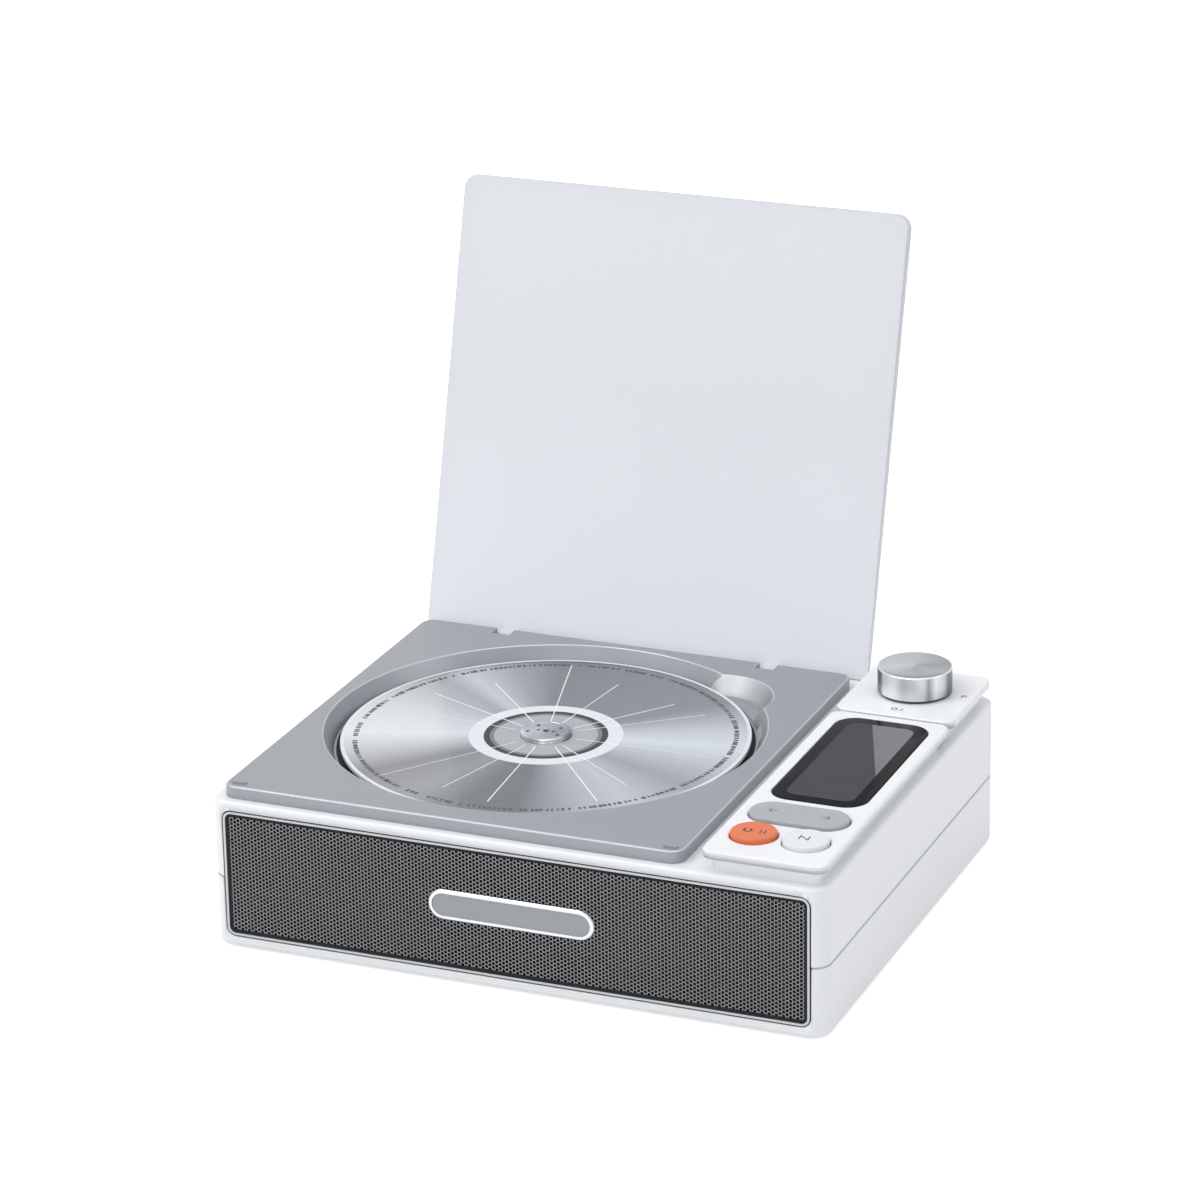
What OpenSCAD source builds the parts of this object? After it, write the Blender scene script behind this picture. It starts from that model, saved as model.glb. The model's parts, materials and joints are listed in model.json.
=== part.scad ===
// Compact disc player with a hinged lid, stereo speakers and a column of controls
// Front grille faces -Y, the hinge is at +Y, and the feet stand on z = 0

/* [Case] */
// Width of the case
case_w = 185.5; // [184:0.5:240]
// Depth of the case
case_d = 150.4; // [149:0.2:200]
// Height of the case without its feet
case_h = 44.4; // [43:0.2:60]
// Radius of the case's upright corners
case_corner_r = 5.5; // [4:0.5:9]
// Radius along the case's top and bottom edges
case_edge_r = 1; // [0.6:0.1:1.4]
// Thickness of the case's walls
case_wall = 2.2; // [1.8:0.1:2.6]
// Height of the lower shell
lower_h = 21; // [19:0.5:24]
// Depth of the lip where the two shells meet
lip_h = 1.2; // [0.8:0.1:1.6]
// Radius of a rubber foot
foot_r = 6; // [5:0.5:8]
// Height of a foot below the case
foot_proud = 0.8; // [0.6:0.1:1.6]
// Distance of a foot from the case's sides
foot_inset = 14; // [12:0.5:18]
// Radius of a long case screw's shank
case_screw_r = 1.2; // [1:0.1:1.4]
// Width of a keyhole's narrow slot
keyhole_w = 4.4; // [4:0.1:5]
// Radius of a keyhole's entry
keyhole_r = 4.2; // [3.8:0.1:5]
// Length of a keyhole's slot past its entry's centre
keyhole_l = 9; // [7:0.5:12]
// Distance between the two keyholes
keyhole_gap = 120; // [110:1:130]

/* [Grille] */
// Width of the grille's frame
grille_w = 177; // [170:0.5:177]
// Height of the grille's frame
grille_h = 38.7; // [37:0.1:39.4]
// Height of the frame's lower edge above the case's lower edge
grille_low = 3; // [2.6:0.1:3.2]
// Radius of the frame's corners
grille_corner_r = 2.8; // [2:0.1:4]
// Width of the frame's rim
grille_rim = 1; // [0.8:0.1:1.6]
// Depth of the frame
grille_t = 1.8; // [1.5:0.1:2]
// Thickness of the perforated sheet
sheet_t = 0.5; // [0.4:0.1:0.8]
// Width of the blank badge
badge_w = 50; // [40:1:60]
// Height of the blank badge
badge_h = 9; // [7:0.5:12]

/* [Speakers] */
// Radius of a speaker's flange
speaker_r = 17.5; // [15:0.5:18]
// Depth of a speaker's basket
speaker_depth = 13; // [11:0.5:16]
// Distance of a speaker from the case's middle
speaker_x = 52; // [48:1:60]

/* [Disc deck] */
// Width of the deck plate
deck_w = 139.7; // [138:0.1:140]
// Depth of the deck plate
deck_d = 141.3; // [140:0.1:142]
// Thickness of the deck plate
deck_t = 3.7; // [3.3:0.1:4.2]
// Gap between the deck plate's left edge and the case's side
deck_left = 3.1; // [2:0.1:4]
// Gap between the deck plate's front edge and the case's front
deck_front = 2.8; // [2:0.1:4]
// Radius of the deck plate's corners
deck_corner_r = 4; // [3:0.5:6]
// Radius of the disc well at the deck's top
well_r = 64.75; // [64:0.25:65]
// Radius of the well's floor
well_floor_r = 61.8; // [61:0.1:62.4]
// Depth of the well
well_depth = 5.5; // [5.2:0.1:6]
// Thickness of the well's floor and wall
well_skin = 1.6; // [1.2:0.1:1.8]
// Radius of the finger scoop at the deck's top
scoop_r = 17.3; // [15:0.1:18]
// Radius of the finger scoop's floor
scoop_floor_r = 13; // [11:0.1:14]
// Distance of the scoop's centre from the disc's centre
scoop_reach = 54; // [52:0.5:55]
// Radius of the compact disc
disc_r = 60; // [58:0.5:60]
// Thickness of the disc
disc_t = 1.2; // [1:0.1:1.5]
// Radius of the disc's centre hole
disc_hole_r = 7.5; // [7:0.1:8]
// Height of the disc above the well's floor
disc_gap = 1.2; // [0.8:0.1:1.6]
// Radius of the turntable that carries the disc
table_r = 15.5; // [13:0.5:16]
// Height of the hub above the disc
hub_proud = 1.4; // [1:0.1:2]

/* [Lid] */
// Width of the lid
lid_w = 144; // [142:0.5:144]
// Depth of the lid
lid_d = 139.4; // [136:0.1:140]
// Thickness of the lid
lid_t = 3.1; // [2.6:0.1:3.6]
// Radius of the lid's front corners
lid_corner_r = 4.5; // [3:0.5:8]
// Radius of the lid's corners beside the hinge
lid_back_r = 1; // [0.8:0.1:3]
// Angle that the lid opens through
lid_open = 105.76; // [95:0.01:106]
// Thickness of a hinge arm
arm_t = 1.8; // [1.4:0.1:2]
// Width of a hinge arm
arm_w = 5.2; // [4.4:0.1:6]
// Distance of each hinge arm from the deck's middle
arm_x = 43; // [36:0.5:48]
// Radius of a hinge pin
pin_r = 0.8; // [0.7:0.05:0.9]
// Depth of the notch that takes a hinge arm
notch_d = 4.7; // [4.4:0.1:5.2]
// Height of a rubber bumper on the deck
bumper_h = 0.5; // [0.3:0.1:0.8]

/* [Controls] */
// Width of the front control plate
panel_w = 35.9; // [35:0.1:36.4]
// Depth of the front control plate
panel_d = 108.6; // [108:0.1:109]
// Gap between the front control plate and the case's front
panel_front = 0.6; // [0.4:0.1:1.2]
// Thickness of a control plate
panel_t = 2.35; // [2:0.05:2.8]
// Height of the neck below the front plate
neck_h = 4.25; // [3.8:0.05:4.6]
// Distance that a plate reaches past its neck
neck_inset = 2.6; // [2.2:0.1:3]
// Depth of the rear plate that carries the knob
rear_d = 38.6; // [38:0.1:38.8]
// Height of the rear plate above the front plate
rear_rise = 0.4; // [0.3:0.05:0.6]
// Radius of the plates' corners
panel_corner_r = 3.5; // [3:0.1:5]
// Width of the display window
window_w = 28.2; // [27:0.1:29]
// Length of the display window
window_d = 63.9; // [58:0.1:64]
// Radius of the display window's corners
window_corner_r = 6.5; // [4:0.1:8]
// Thickness of the display window
window_t = 1.2; // [1:0.1:1.4]
// Radius of a round button
button_r = 6.5; // [6:0.1:6.8]
// Height of a round button above the plate
button_proud = 1.3; // [1:0.1:2]
// Travel of a round button
button_travel = 0.8; // [0.6:0.1:1]
// Distance between the two round buttons
button_gap = 15.2; // [15:0.1:16]
// Length of the track rocker
rocker_w = 28.8; // [27:0.1:29]
// Width of the track rocker
rocker_d = 12.9; // [12:0.1:13.2]
// Height of the track rocker above the plate
rocker_proud = 1; // [0.8:0.1:1.4]
// Radius of the volume knob
knob_r = 11; // [10:0.1:12]
// Height of the volume knob
knob_h = 8.1; // [7:0.1:10]
// Clearance round a button
button_clear = 0.3; // [0.25:0.05:0.4]

/* [Mechanism] */
// Radius of the spindle motor
motor_r = 12.2; // [10:0.1:12.4]
// Height of the spindle motor
motor_h = 11; // [9:0.5:12]
// Radius of the spindle shaft
shaft_r = 1; // [0.8:0.1:1.2]
// Radius of a sled rail
rail_r = 1.5; // [1.2:0.1:1.6]
// Travel of the laser sled
sled_travel = 35; // [30:0.5:36]
// Height of the laser sled
sled_h = 7; // [6:0.5:8]
// Tooth module of the sled's rack and pinion
tooth_m = 0.8; // [0.7:0.05:0.8]
// Number of teeth on the pinion
pinion_teeth = 14; // [14:1:16]
// Thickness of the chassis plate
chassis_t = 1.2; // [1:0.1:1.6]
// Radius of a battery cell
cell_r = 9.2; // [8:0.1:9.4]
// Length of a battery cell
cell_l = 65; // [60:1:66]

/* [Hidden] */
$fn = 64;

white = "#E8EAED";
lid_white = "#DDE1E6";
deck_grey = "#A9ACB1";
silver = "#C9CCD1";
dark = "#3C3D40";
orange = "#F28A5E";
rocker_grey = "#B0B4B8";
steel = "#9EA3A8";
rubber = "#55585C";
board_green = "#2F6B4A";

eps = 0.01;
slip = 0.05;
snug = 0.02;
soft_gap = 0.3;

case_low = foot_proud;
case_top = case_low + case_h;
seam_z = case_low + lower_h;
roof_z = case_top - case_wall;
floor_z = case_low + case_wall;
inner_x = case_w / 2 - case_wall;
inner_y = case_d / 2 - case_wall;
inner_corner_r = case_corner_r - case_wall;

deck_top = case_top + deck_t;
deck_x = -case_w / 2 + deck_left + deck_w / 2;
deck_y = -case_d / 2 + deck_front + deck_d / 2;
deck_back = deck_y + deck_d / 2;
deck_edge = 0.4;
disc_x = deck_x - 0.9;
disc_y = deck_y + 2.3;
well_floor = deck_top - well_depth;
deck_low = well_floor - well_skin;
bowl_r = well_floor_r + well_skin + 0.6;
scoop_x = disc_x + scoop_reach * cos(45);
scoop_y = disc_y + scoop_reach * sin(45);
scoop_floor = well_floor + 0.4;
scoop_bowl_r = scoop_floor_r + well_skin + 0.6;
disc_low = well_floor + disc_gap;
disc_top = disc_low + disc_t;
hub_r = disc_hole_r - 0.1;
hub_top = disc_top + hub_proud;
table_t = 2;
table_low = disc_low - table_t;
lens_window_r = table_r + 3;
lens_window_l = 58;
lens_window_w = 22;

hinge_y = deck_back - 0.4;
hinge_z = case_top - 0.2;
knuckle_r = pin_r + 1.2;
ear_w = 3;
notch_w = arm_w + 0.6;
lid_low = deck_top + bumper_h + slip;
lid_back = hinge_y - 1.8;
lid_x = deck_x + 0.54;
lid_edge = 0.5;
lid_back_d = lid_d / 4;
arm_rise = 0.35;
arm_l = 5.4;
hinge_slot_w = notch_w + 2 * ear_w + 2 * soft_gap;
hinge_slot_d = 2 * (knuckle_r + soft_gap);
bumper_w = 4.5;
bumper_d = 1.4;
bumper_inset = 3.2;

panel_x = case_w / 2 - 0.6 - panel_w / 2;
panel_low = case_top + neck_h;
panel_top = panel_low + panel_t;
panel_y = -case_d / 2 + panel_front + panel_d / 2;
panel_back = panel_y + panel_d / 2;
panel_gap = 0.4;
rear_low = panel_low + rear_rise;
rear_top = panel_top + rear_rise;
rear_y = panel_back + panel_gap + rear_d / 2;
neck_wall = 1.2;
neck_in_w = panel_w - 2 * (neck_inset + neck_wall);
neck_in_front_d = panel_d - 2 * (neck_inset + neck_wall);
neck_in_rear_d = rear_d - 2 * (neck_inset + neck_wall);
window_y = panel_y + 18.7;
window_lip = 3;
rocker_y = panel_y - 24.1;
button_y = panel_y - 39.7;
button_x = [panel_x - button_gap / 2, panel_x + button_gap / 2];
flange = 1;
flange_t = 1;
flange_top = panel_low - 0.1;
button_low = flange_top - flange_t;
rocker_pivot_z = panel_low - 1.5;
rocker_pin_r = 1;
rocker_pin_l = rocker_d / 2 + 2.2;
rocker_low = panel_low - 2.8;
ear_t = 1.8;
rocker_stem = 8;
key_x = [-rocker_stem, rocker_stem];

board_t = 1.6;
board_top = case_top - 3.6;
board_low = board_top - board_t;
board_x0 = panel_x - panel_w / 2 + neck_inset + 0.2;
board_x1 = inner_x - 1;
board_y = inner_y - 8;
switch_w = 6;
switch_h = 3.4;
plunger_r = 1.7;
plunger_top = board_top + 4.4;
stem_r = 1.5;
stem_low = plunger_top + button_travel + 0.1;
panel_boss_r = 1.7;
panel_screw_r = 0.9;
panel_boss_x = 9;
panel_boss_y = window_y - window_d / 2 - 2.1;
rear_boss_y = rear_y - rear_d / 2 + neck_inset + neck_wall + panel_boss_r + 0.3;
knob_y = rear_y + 0.9;
knob_gap = 0.3;
knob_low = rear_top + knob_gap;
knob_top = rear_top + knob_h;
knob_wall = 1.4;
volume_r = 3;
encoder_w = 11.8;
encoder_top = rear_low - 1.2;

grille_z = case_low + grille_low + grille_h / 2;
sheet_w = grille_w - 2 * grille_rim;
sheet_h = grille_h - 2 * grille_rim;
sheet_r = grille_corner_r - grille_rim;
recess_gap = 0.15;
sheet_step = 0.5;
speaker_hole_r = speaker_r - 2.5;
magnet_r = speaker_r * 0.55;
magnet_h = 4;
basket_t = 1.2;

foot_x = case_w / 2 - foot_inset;
foot_y = case_d / 2 - foot_inset;
foot_recess = 1;
post_r = 3;
post_x = inner_x - post_r - 0.6;
post_y = inner_y - post_r - 0.6;
case_screw_head_r = 2.2;
case_screw_head_h = 1.4;
case_screw_sink = 2.6;
keyhole_y = 40;

chassis_low = case_top - 9.6;
chassis_top = chassis_low + chassis_t;
chassis_reach_left = 33;
chassis_reach_right = 88;
chassis_reach_front = 34;
chassis_reach_back = 30;
chassis_x0 = disc_x - chassis_reach_left;
chassis_x1 = disc_x + chassis_reach_right;
chassis_y0 = disc_y - chassis_reach_front;
chassis_y1 = disc_y + chassis_reach_back;
chassis_inset = 6;
isolator_x = [chassis_x0 + chassis_inset, chassis_x1 - chassis_inset];
isolator_y = [chassis_y0 + chassis_inset, chassis_y1 - chassis_inset];
isolator_r = 4;
isolator_neck_r = 2.8;
isolator_lip = 1.2;
isolator_low = chassis_low - isolator_lip;
isolator_top = chassis_top + isolator_lip;
boss_r = 4;
screw_r = 1;
rail_y = 19;
rail_z = chassis_low - 4;
rail_lug = 2.5;
holder_t = 3.5;
holder_w = 6;
rail_start = disc_x + motor_r + 0.6;
sled_l = 22;
sled_x0 = rail_start + holder_t + 0.8;
rail_l = sled_l + sled_travel + 2 * holder_t + 1.6;
rail_end = rail_start + rail_l;
sled_w = 2 * rail_y - 8;
sled_low = rail_z - rail_lug;
sled_top = sled_low + sled_h;
lens_x = sled_x0 + 6.5;
lens_r = 3.5;
lens_h = 3.5;
tooth_pitch = PI * tooth_m;
tooth_half = tooth_pitch / 4 - 0.09;
tooth_tip = 0.7 * tooth_m;
tooth_root = 0.95 * tooth_m;
pinion_r = tooth_m * pinion_teeth / 2;
pinion_y = disc_y - rail_y - 8.5;
pinion_x = sled_x0 + sled_travel + 2.5;
rack_pitch_y = pinion_y + pinion_r;
rack_l = sled_travel + 5;
rack_h = 3;
rack_w = 3.4;
rack_low = sled_low - rack_h;
sled_motor_r = 6;
sled_motor_low = sled_low + 0.6;

pcb_low = floor_z + 4.8;
pcb_top = pcb_low + board_t;
pcb_w = 104;
pcb_left = 22.55;
pcb_back = 4;
pcb_d = 75;
pcb_x0 = -inner_x + pcb_left;
pcb_x1 = pcb_x0 + pcb_w;
pcb_y1 = inner_y - pcb_back;
pcb_y0 = pcb_y1 - pcb_d;
pcb_hole_x = [pcb_x0 + 5, pcb_x1 - 5];
pcb_hole_y = [pcb_y0 + 5, pcb_y1 - 9];
pcb_boss_r = 3;
port_x = pcb_x0 + 24;
port_w = 8.94;
port_h = 3.26;
port_l = 9;
port_wall = 0.35;
jack_x = pcb_x0 + 46;
jack_r = 1.8;
jack_nose_r = 3;
jack_l = 14;
jack_z = pcb_top + 3.6;
socket_y = case_d / 2 - 0.4;
cell_x = 0;
cell_front = 25.5;
cell_y = -inner_y + cell_front;
cell_pitch = 2 * cell_r + 0.6;
cell_lift = 1.2;
cell_z = floor_z + cell_lift + cell_r;

// Flat outline with rounded corners, centred on the origin
module round_rect(w, d, r) {
    square([w - 2 * r, d], center = true);
    square([w, d - 2 * r], center = true);
    for (sx = [-1, 1], sy = [-1, 1])
        translate([sx * (w / 2 - r), sy * (d / 2 - r)])
            circle(r);
}

// Upright plate with rounded corners, from z = 0 up
module plate(w, d, h, r) {
    linear_extrude(h)
        round_rect(w, d, r);
}

// Plate whose upper edge is chamfered
module edged_plate(w, d, h, r, edge) {
    plate(w, d, h - edge, r);
    for (sx = [-1, 1], sy = [-1, 1])
        translate([sx * (w / 2 - r), sy * (d / 2 - r), h - edge])
            cylinder(h = edge, r1 = r, r2 = r - edge);
    translate([0, 0, h - edge]) {
        rotate([90, 0, 90])
            linear_extrude(w - 2 * r, center = true)
                polygon([[-d / 2, 0], [d / 2, 0], [d / 2 - edge, edge], [edge - d / 2, edge]]);
        rotate([90, 0, 0])
            linear_extrude(d - 2 * r, center = true)
                polygon([[-w / 2, 0], [w / 2, 0], [w / 2 - edge, edge], [edge - w / 2, edge]]);
    }
}

// Quarter outline of a round corner whose lower and upper ends are rounded
module corner_profile(r, h, re) {
    square([r - re, h]);
    translate([0, re])
        square([r, h - 2 * re]);
    intersection() {
        square([r, h]);
        for (z = [re, h - re])
            translate([r - re, z])
                circle(re);
    }
}

// Block with round upright corners and round lower and upper edges
module soft_box(w, d, h, r, re) {
    translate([0, 0, re])
        plate(w, d, h - 2 * re, r);
    plate(w - 2 * re, d - 2 * re, h, r - re);
    for (sx = [-1, 1], sy = [-1, 1])
        translate([sx * (w / 2 - r), sy * (d / 2 - r), 0])
            rotate_extrude()
                corner_profile(r, h, re);
    for (side = [-1, 1], z = [re, h - re]) {
        translate([r - w / 2, side * (d / 2 - re), z])
            rotate([0, 90, 0])
                cylinder(h = w - 2 * r, r = re);
        translate([side * (w / 2 - re), r - d / 2, z])
            rotate([-90, 0, 0])
                cylinder(h = d - 2 * r, r = re);
    }
}

module at_corners(x, y) {
    for (sx = [-1, 1], sy = [-1, 1])
        translate([sx * x, sy * y, 0])
            children();
}

module at_grid(xs, ys) {
    for (x = xs, y = ys)
        translate([x, y, 0])
            children();
}

// Screw with a round head, its head's top at z = 0 and its shank below
module screw(r, l, head_r, head_h) {
    translate([0, 0, -head_h])
        cylinder(h = head_h, r = head_r);
    translate([0, 0, -l])
        cylinder(h = l, r = r);
}

module case_block() {
    translate([0, 0, case_low])
        soft_box(case_w, case_d, case_h, case_corner_r, case_edge_r);
}

module case_cavity() {
    translate([0, 0, floor_z])
        plate(2 * inner_x, 2 * inner_y, roof_z - floor_z, inner_corner_r);
}

// Lip on the lower shell that the upper shell closes over
module case_lip(gap) {
    difference() {
        plate(2 * inner_x + case_wall + gap, 2 * inner_y + case_wall + gap,
            lip_h + gap, inner_corner_r + (case_wall + gap) / 2);
        translate([0, 0, -1])
            plate(2 * inner_x, 2 * inner_y, lip_h + gap + 2, inner_corner_r);
    }
}

// Recess in the front wall that takes the grille, and the speaker holes behind it
module grille_recess() {
    translate([0, -case_d / 2 - 1, grille_z])
        rotate([-90, 0, 0])
            plate(grille_w + 2 * recess_gap, grille_h + 2 * recess_gap,
                grille_t + 1, grille_corner_r + recess_gap);
    for (sx = [-1, 1])
        translate([sx * speaker_x, -case_d / 2 - 1, grille_z])
            rotate([-90, 0, 0])
                cylinder(h = case_wall + 2, r = speaker_hole_r);
}

module keyhole() {
    translate([0, 0, case_low - 1]) {
        cylinder(h = case_wall + 2, r = keyhole_r);
        translate([-keyhole_w / 2, 0, 0])
            cube([keyhole_w, keyhole_l, case_wall + 2]);
        translate([0, keyhole_l, 0])
            cylinder(h = case_wall + 2, r = keyhole_w / 2);
    }
}

// Openings in the rear wall for the charging socket and the headphone jack
module socket_holes() {
    translate([port_x, inner_y - 1, pcb_top + port_h / 2])
        rotate([-90, 0, 0])
            plate(port_w + 2 * recess_gap, port_h + 2 * recess_gap,
                case_wall + 2, port_h / 2);
    translate([jack_x, inner_y - 1, jack_z])
        rotate([-90, 0, 0])
            cylinder(h = case_wall + 2, r = jack_nose_r + recess_gap);
}

// One copy at each corner foot and one under the middle of the case
module at_feet() {
    at_corners(foot_x, foot_y)
        children();
    children();
}

module lower_case() {
    color(white)
    difference() {
        union() {
            difference() {
                intersection() {
                    case_block();
                    translate([-case_w / 2, -case_d / 2, 0])
                        cube([case_w, case_d, seam_z]);
                }
                case_cavity();
            }
            translate([0, 0, seam_z])
                case_lip(0);
            at_corners(post_x, post_y)
                translate([0, 0, floor_z - eps])
                    cylinder(h = seam_z - floor_z, r = post_r);
            at_grid(isolator_x, isolator_y)
                translate([0, 0, floor_z - eps])
                    cylinder(h = isolator_low - floor_z, r = boss_r);
            at_grid(pcb_hole_x, pcb_hole_y)
                translate([0, 0, floor_z - eps])
                    cylinder(h = pcb_low - floor_z, r = pcb_boss_r);
        }
        grille_recess();
        socket_holes();
        for (sx = [-1, 1])
            translate([sx * keyhole_gap / 2, keyhole_y, 0])
                keyhole();
        at_feet()
            translate([0, 0, case_low - 1])
                cylinder(h = 1 + foot_recess, r = foot_r + 0.1);
        at_corners(post_x, post_y)
            translate([0, 0, case_low - 1]) {
                cylinder(h = lower_h + 2, r = case_screw_r + 0.2);
                cylinder(h = 1 + case_screw_sink, r = case_screw_head_r + 0.2);
            }
        at_grid(isolator_x, isolator_y)
            translate([0, 0, isolator_low - 8])
                cylinder(h = 9, r = screw_r + snug);
        at_grid(pcb_hole_x, pcb_hole_y)
            translate([0, 0, pcb_low - 4])
                cylinder(h = 5, r = screw_r + snug);
    }
}

module upper_case() {
    color(white)
    difference() {
        union() {
            difference() {
                intersection() {
                    case_block();
                    translate([-case_w / 2, -case_d / 2, seam_z])
                        cube([case_w, case_d, case_h]);
                }
                case_cavity();
                translate([0, 0, seam_z - eps])
                    case_lip(slip);
            }
            at_corners(post_x, post_y)
                translate([0, 0, seam_z + lip_h + slip])
                    cylinder(h = roof_z - seam_z - lip_h, r = post_r - 0.2);
        }
        grille_recess();
        at_corners(post_x, post_y)
            translate([0, 0, seam_z])
                cylinder(h = 14, r = case_screw_r + snug);
        translate([disc_x, disc_y, roof_z - 1])
            cylinder(h = case_wall + 2, r = bowl_r + soft_gap);
        translate([scoop_x, scoop_y, roof_z - 1])
            cylinder(h = case_wall + 2, r = scoop_bowl_r + soft_gap);
        for (sx = [-1, 1])
            translate([deck_x + sx * arm_x - hinge_slot_w / 2,
                hinge_y - hinge_slot_d / 2, roof_z - 1])
                cube([hinge_slot_w, hinge_slot_d, case_wall + 2]);
        translate([panel_x, panel_y, roof_z - 1])
            plate(neck_in_w, neck_in_front_d, case_wall + 2, 1);
        translate([panel_x, rear_y, roof_z - 1])
            plate(neck_in_w, neck_in_rear_d, case_wall + 2, 1);
    }
}

module rubber_feet() {
    color(rubber)
    at_feet()
        cylinder(h = foot_proud + foot_recess - slip, r = foot_r);
}

module case_screws() {
    color(steel)
    at_corners(post_x, post_y)
        translate([0, 0, case_low + case_screw_sink - case_screw_head_h])
            mirror([0, 0, 1])
                screw(case_screw_r, seam_z + 10 - case_low, case_screw_head_r,
                    case_screw_head_h);
}

module grille_frame() {
    color(silver)
    translate([0, -case_d / 2, grille_z])
        rotate([-90, 0, 0])
            difference() {
                plate(grille_w, grille_h, grille_t, grille_corner_r);
                translate([0, 0, -1])
                    plate(sheet_w, sheet_h, 2 + grille_t, sheet_r);
            }
}

module speaker_grille() {
    color(silver)
    translate([0, sheet_step - case_d / 2, grille_z])
        rotate([-90, 0, 0])
            plate(sheet_w - 2 * slip, sheet_h - 2 * slip, sheet_t, sheet_r);
}

module grille_badge() {
    color(silver)
    translate([0, sheet_step - case_d / 2, grille_z + 0.6])
        rotate([90, 0, 0])
            plate(badge_w, badge_h, sheet_step, badge_h / 2 - eps);
}

module speaker_place() {
    for (sx = [-1, 1])
        translate([sx * speaker_x, -inner_y, grille_z])
            rotate([-90, 0, 0])
                children();
}

module speaker_baskets() {
    color(steel)
    speaker_place()
        difference() {
            union() {
                cylinder(h = basket_t, r = speaker_r);
                cylinder(h = speaker_depth - magnet_h, r1 = speaker_r - 2, r2 = magnet_r);
            }
            translate([0, 0, -1])
                cylinder(h = 1 + basket_t, r = speaker_r - 3);
            translate([0, 0, basket_t - eps])
                cylinder(h = speaker_depth - magnet_h - basket_t - basket_t,
                    r1 = speaker_r - 3, r2 = magnet_r - 1);
        }
}

module speaker_cones() {
    color(dark)
    speaker_place()
        rotate_extrude()
            polygon([[0, 5], [0, 4.4], [3, 4.4], [speaker_r - 5, 1.4], [speaker_r - 3.1, 0.4],
                [speaker_r - 3.1, 1.1], [speaker_r - 5, 2], [3, 5]]);
}

module speaker_magnets() {
    color(steel)
    speaker_place()
        translate([0, 0, speaker_depth - magnet_h])
            cylinder(h = magnet_h, r = magnet_r);
}

// Hinge ear of the deck, centred on the hinge line
module hinge_ear() {
    rotate([0, 90, 0])
        cylinder(h = ear_w, r = knuckle_r - slip);
    translate([0, -knuckle_r + slip, 0])
        cube([ear_w, knuckle_r - slip, deck_top - hinge_z - deck_edge]);
}

module deck_plate() {
    color(deck_grey)
    difference() {
        union() {
            translate([deck_x, deck_y, case_top])
                edged_plate(deck_w, deck_d, deck_t, deck_corner_r, deck_edge);
            translate([disc_x, disc_y, deck_low])
                cylinder(h = case_top - deck_low + 1, r = bowl_r);
            translate([scoop_x, scoop_y, deck_low])
                cylinder(h = case_top - deck_low + 1, r = scoop_bowl_r);
            for (sx = [-1, 1], side = [-1, 1])
                translate([deck_x + sx * arm_x + side * (notch_w + ear_w) / 2 - ear_w / 2,
                    hinge_y, hinge_z])
                    hinge_ear();
        }
        translate([disc_x, disc_y, well_floor])
            cylinder(h = well_depth, r1 = well_floor_r, r2 = well_r);
        translate([scoop_x, scoop_y, scoop_floor])
            cylinder(h = deck_top - scoop_floor, r1 = scoop_floor_r, r2 = scoop_r);
        translate([disc_x, disc_y, deck_low - 1]) {
            cylinder(h = well_skin + 2, r = lens_window_r);
            translate([0, -lens_window_w / 2, 0])
                cube([lens_window_l, lens_window_w, well_skin + 2]);
        }
        for (sx = [-1, 1]) {
            translate([deck_x + sx * arm_x - notch_w / 2, deck_back - notch_d, hinge_z - knuckle_r - 1])
                cube([notch_w, notch_d + 4, deck_t + knuckle_r + 3]);
            translate([deck_x + sx * arm_x - notch_w / 2 - ear_w - snug, hinge_y, hinge_z])
                rotate([0, 90, 0])
                    cylinder(h = notch_w + 2 * (ear_w + snug), r = pin_r + snug);
        }
    }
}

module deck_bumpers() {
    color(rubber)
    for (sx = [-1, 1])
        translate([deck_x + sx * (deck_w / 2 - bumper_w / 2 - 2), deck_y - deck_d / 2 + bumper_inset,
            deck_top])
            plate(bumper_w, bumper_d, bumper_h, bumper_d / 2 - eps);
}

module hinge_pins() {
    color(steel)
    for (sx = [-1, 1])
        translate([deck_x + sx * arm_x - notch_w / 2 - ear_w, hinge_y, hinge_z])
            rotate([0, 90, 0])
                cylinder(h = notch_w + 2 * ear_w, r = pin_r);
}

// The lid shut on the deck, without its hinge arms
module shut_lid() {
    translate([lid_x, lid_back - lid_d / 2, lid_low])
        edged_plate(lid_w, lid_d, lid_t, lid_corner_r, lid_edge);
    translate([lid_x, lid_back - lid_back_d / 2, lid_low])
        edged_plate(lid_w, lid_back_d, lid_t, lid_back_r, lid_edge);
}

module lid_panel() {
    color(lid_white)
    difference() {
        union() {
            translate([0, hinge_y, hinge_z])
                rotate([-lid_open, 0, 0])
                    translate([0, -hinge_y, -hinge_z])
                        shut_lid();
            for (sx = [-1, 1])
                translate([deck_x + sx * arm_x - arm_w / 2, hinge_y, hinge_z]) {
                    rotate([0, 90, 0])
                        cylinder(h = arm_w, r = knuckle_r);
                    translate([0, 0, arm_rise])
                        cube([arm_w, arm_l, arm_t]);
                }
        }
        for (sx = [-1, 1])
            translate([deck_x + sx * arm_x - arm_w, hinge_y, hinge_z])
                rotate([0, 90, 0])
                    cylinder(h = 2 * arm_w, r = pin_r + slip);
    }
}

module disc() {
    color(silver)
    translate([disc_x, disc_y, disc_low])
        difference() {
            cylinder(h = disc_t, r = disc_r);
            translate([0, 0, -1])
                cylinder(h = disc_t + 2, r = disc_hole_r);
        }
}

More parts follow.
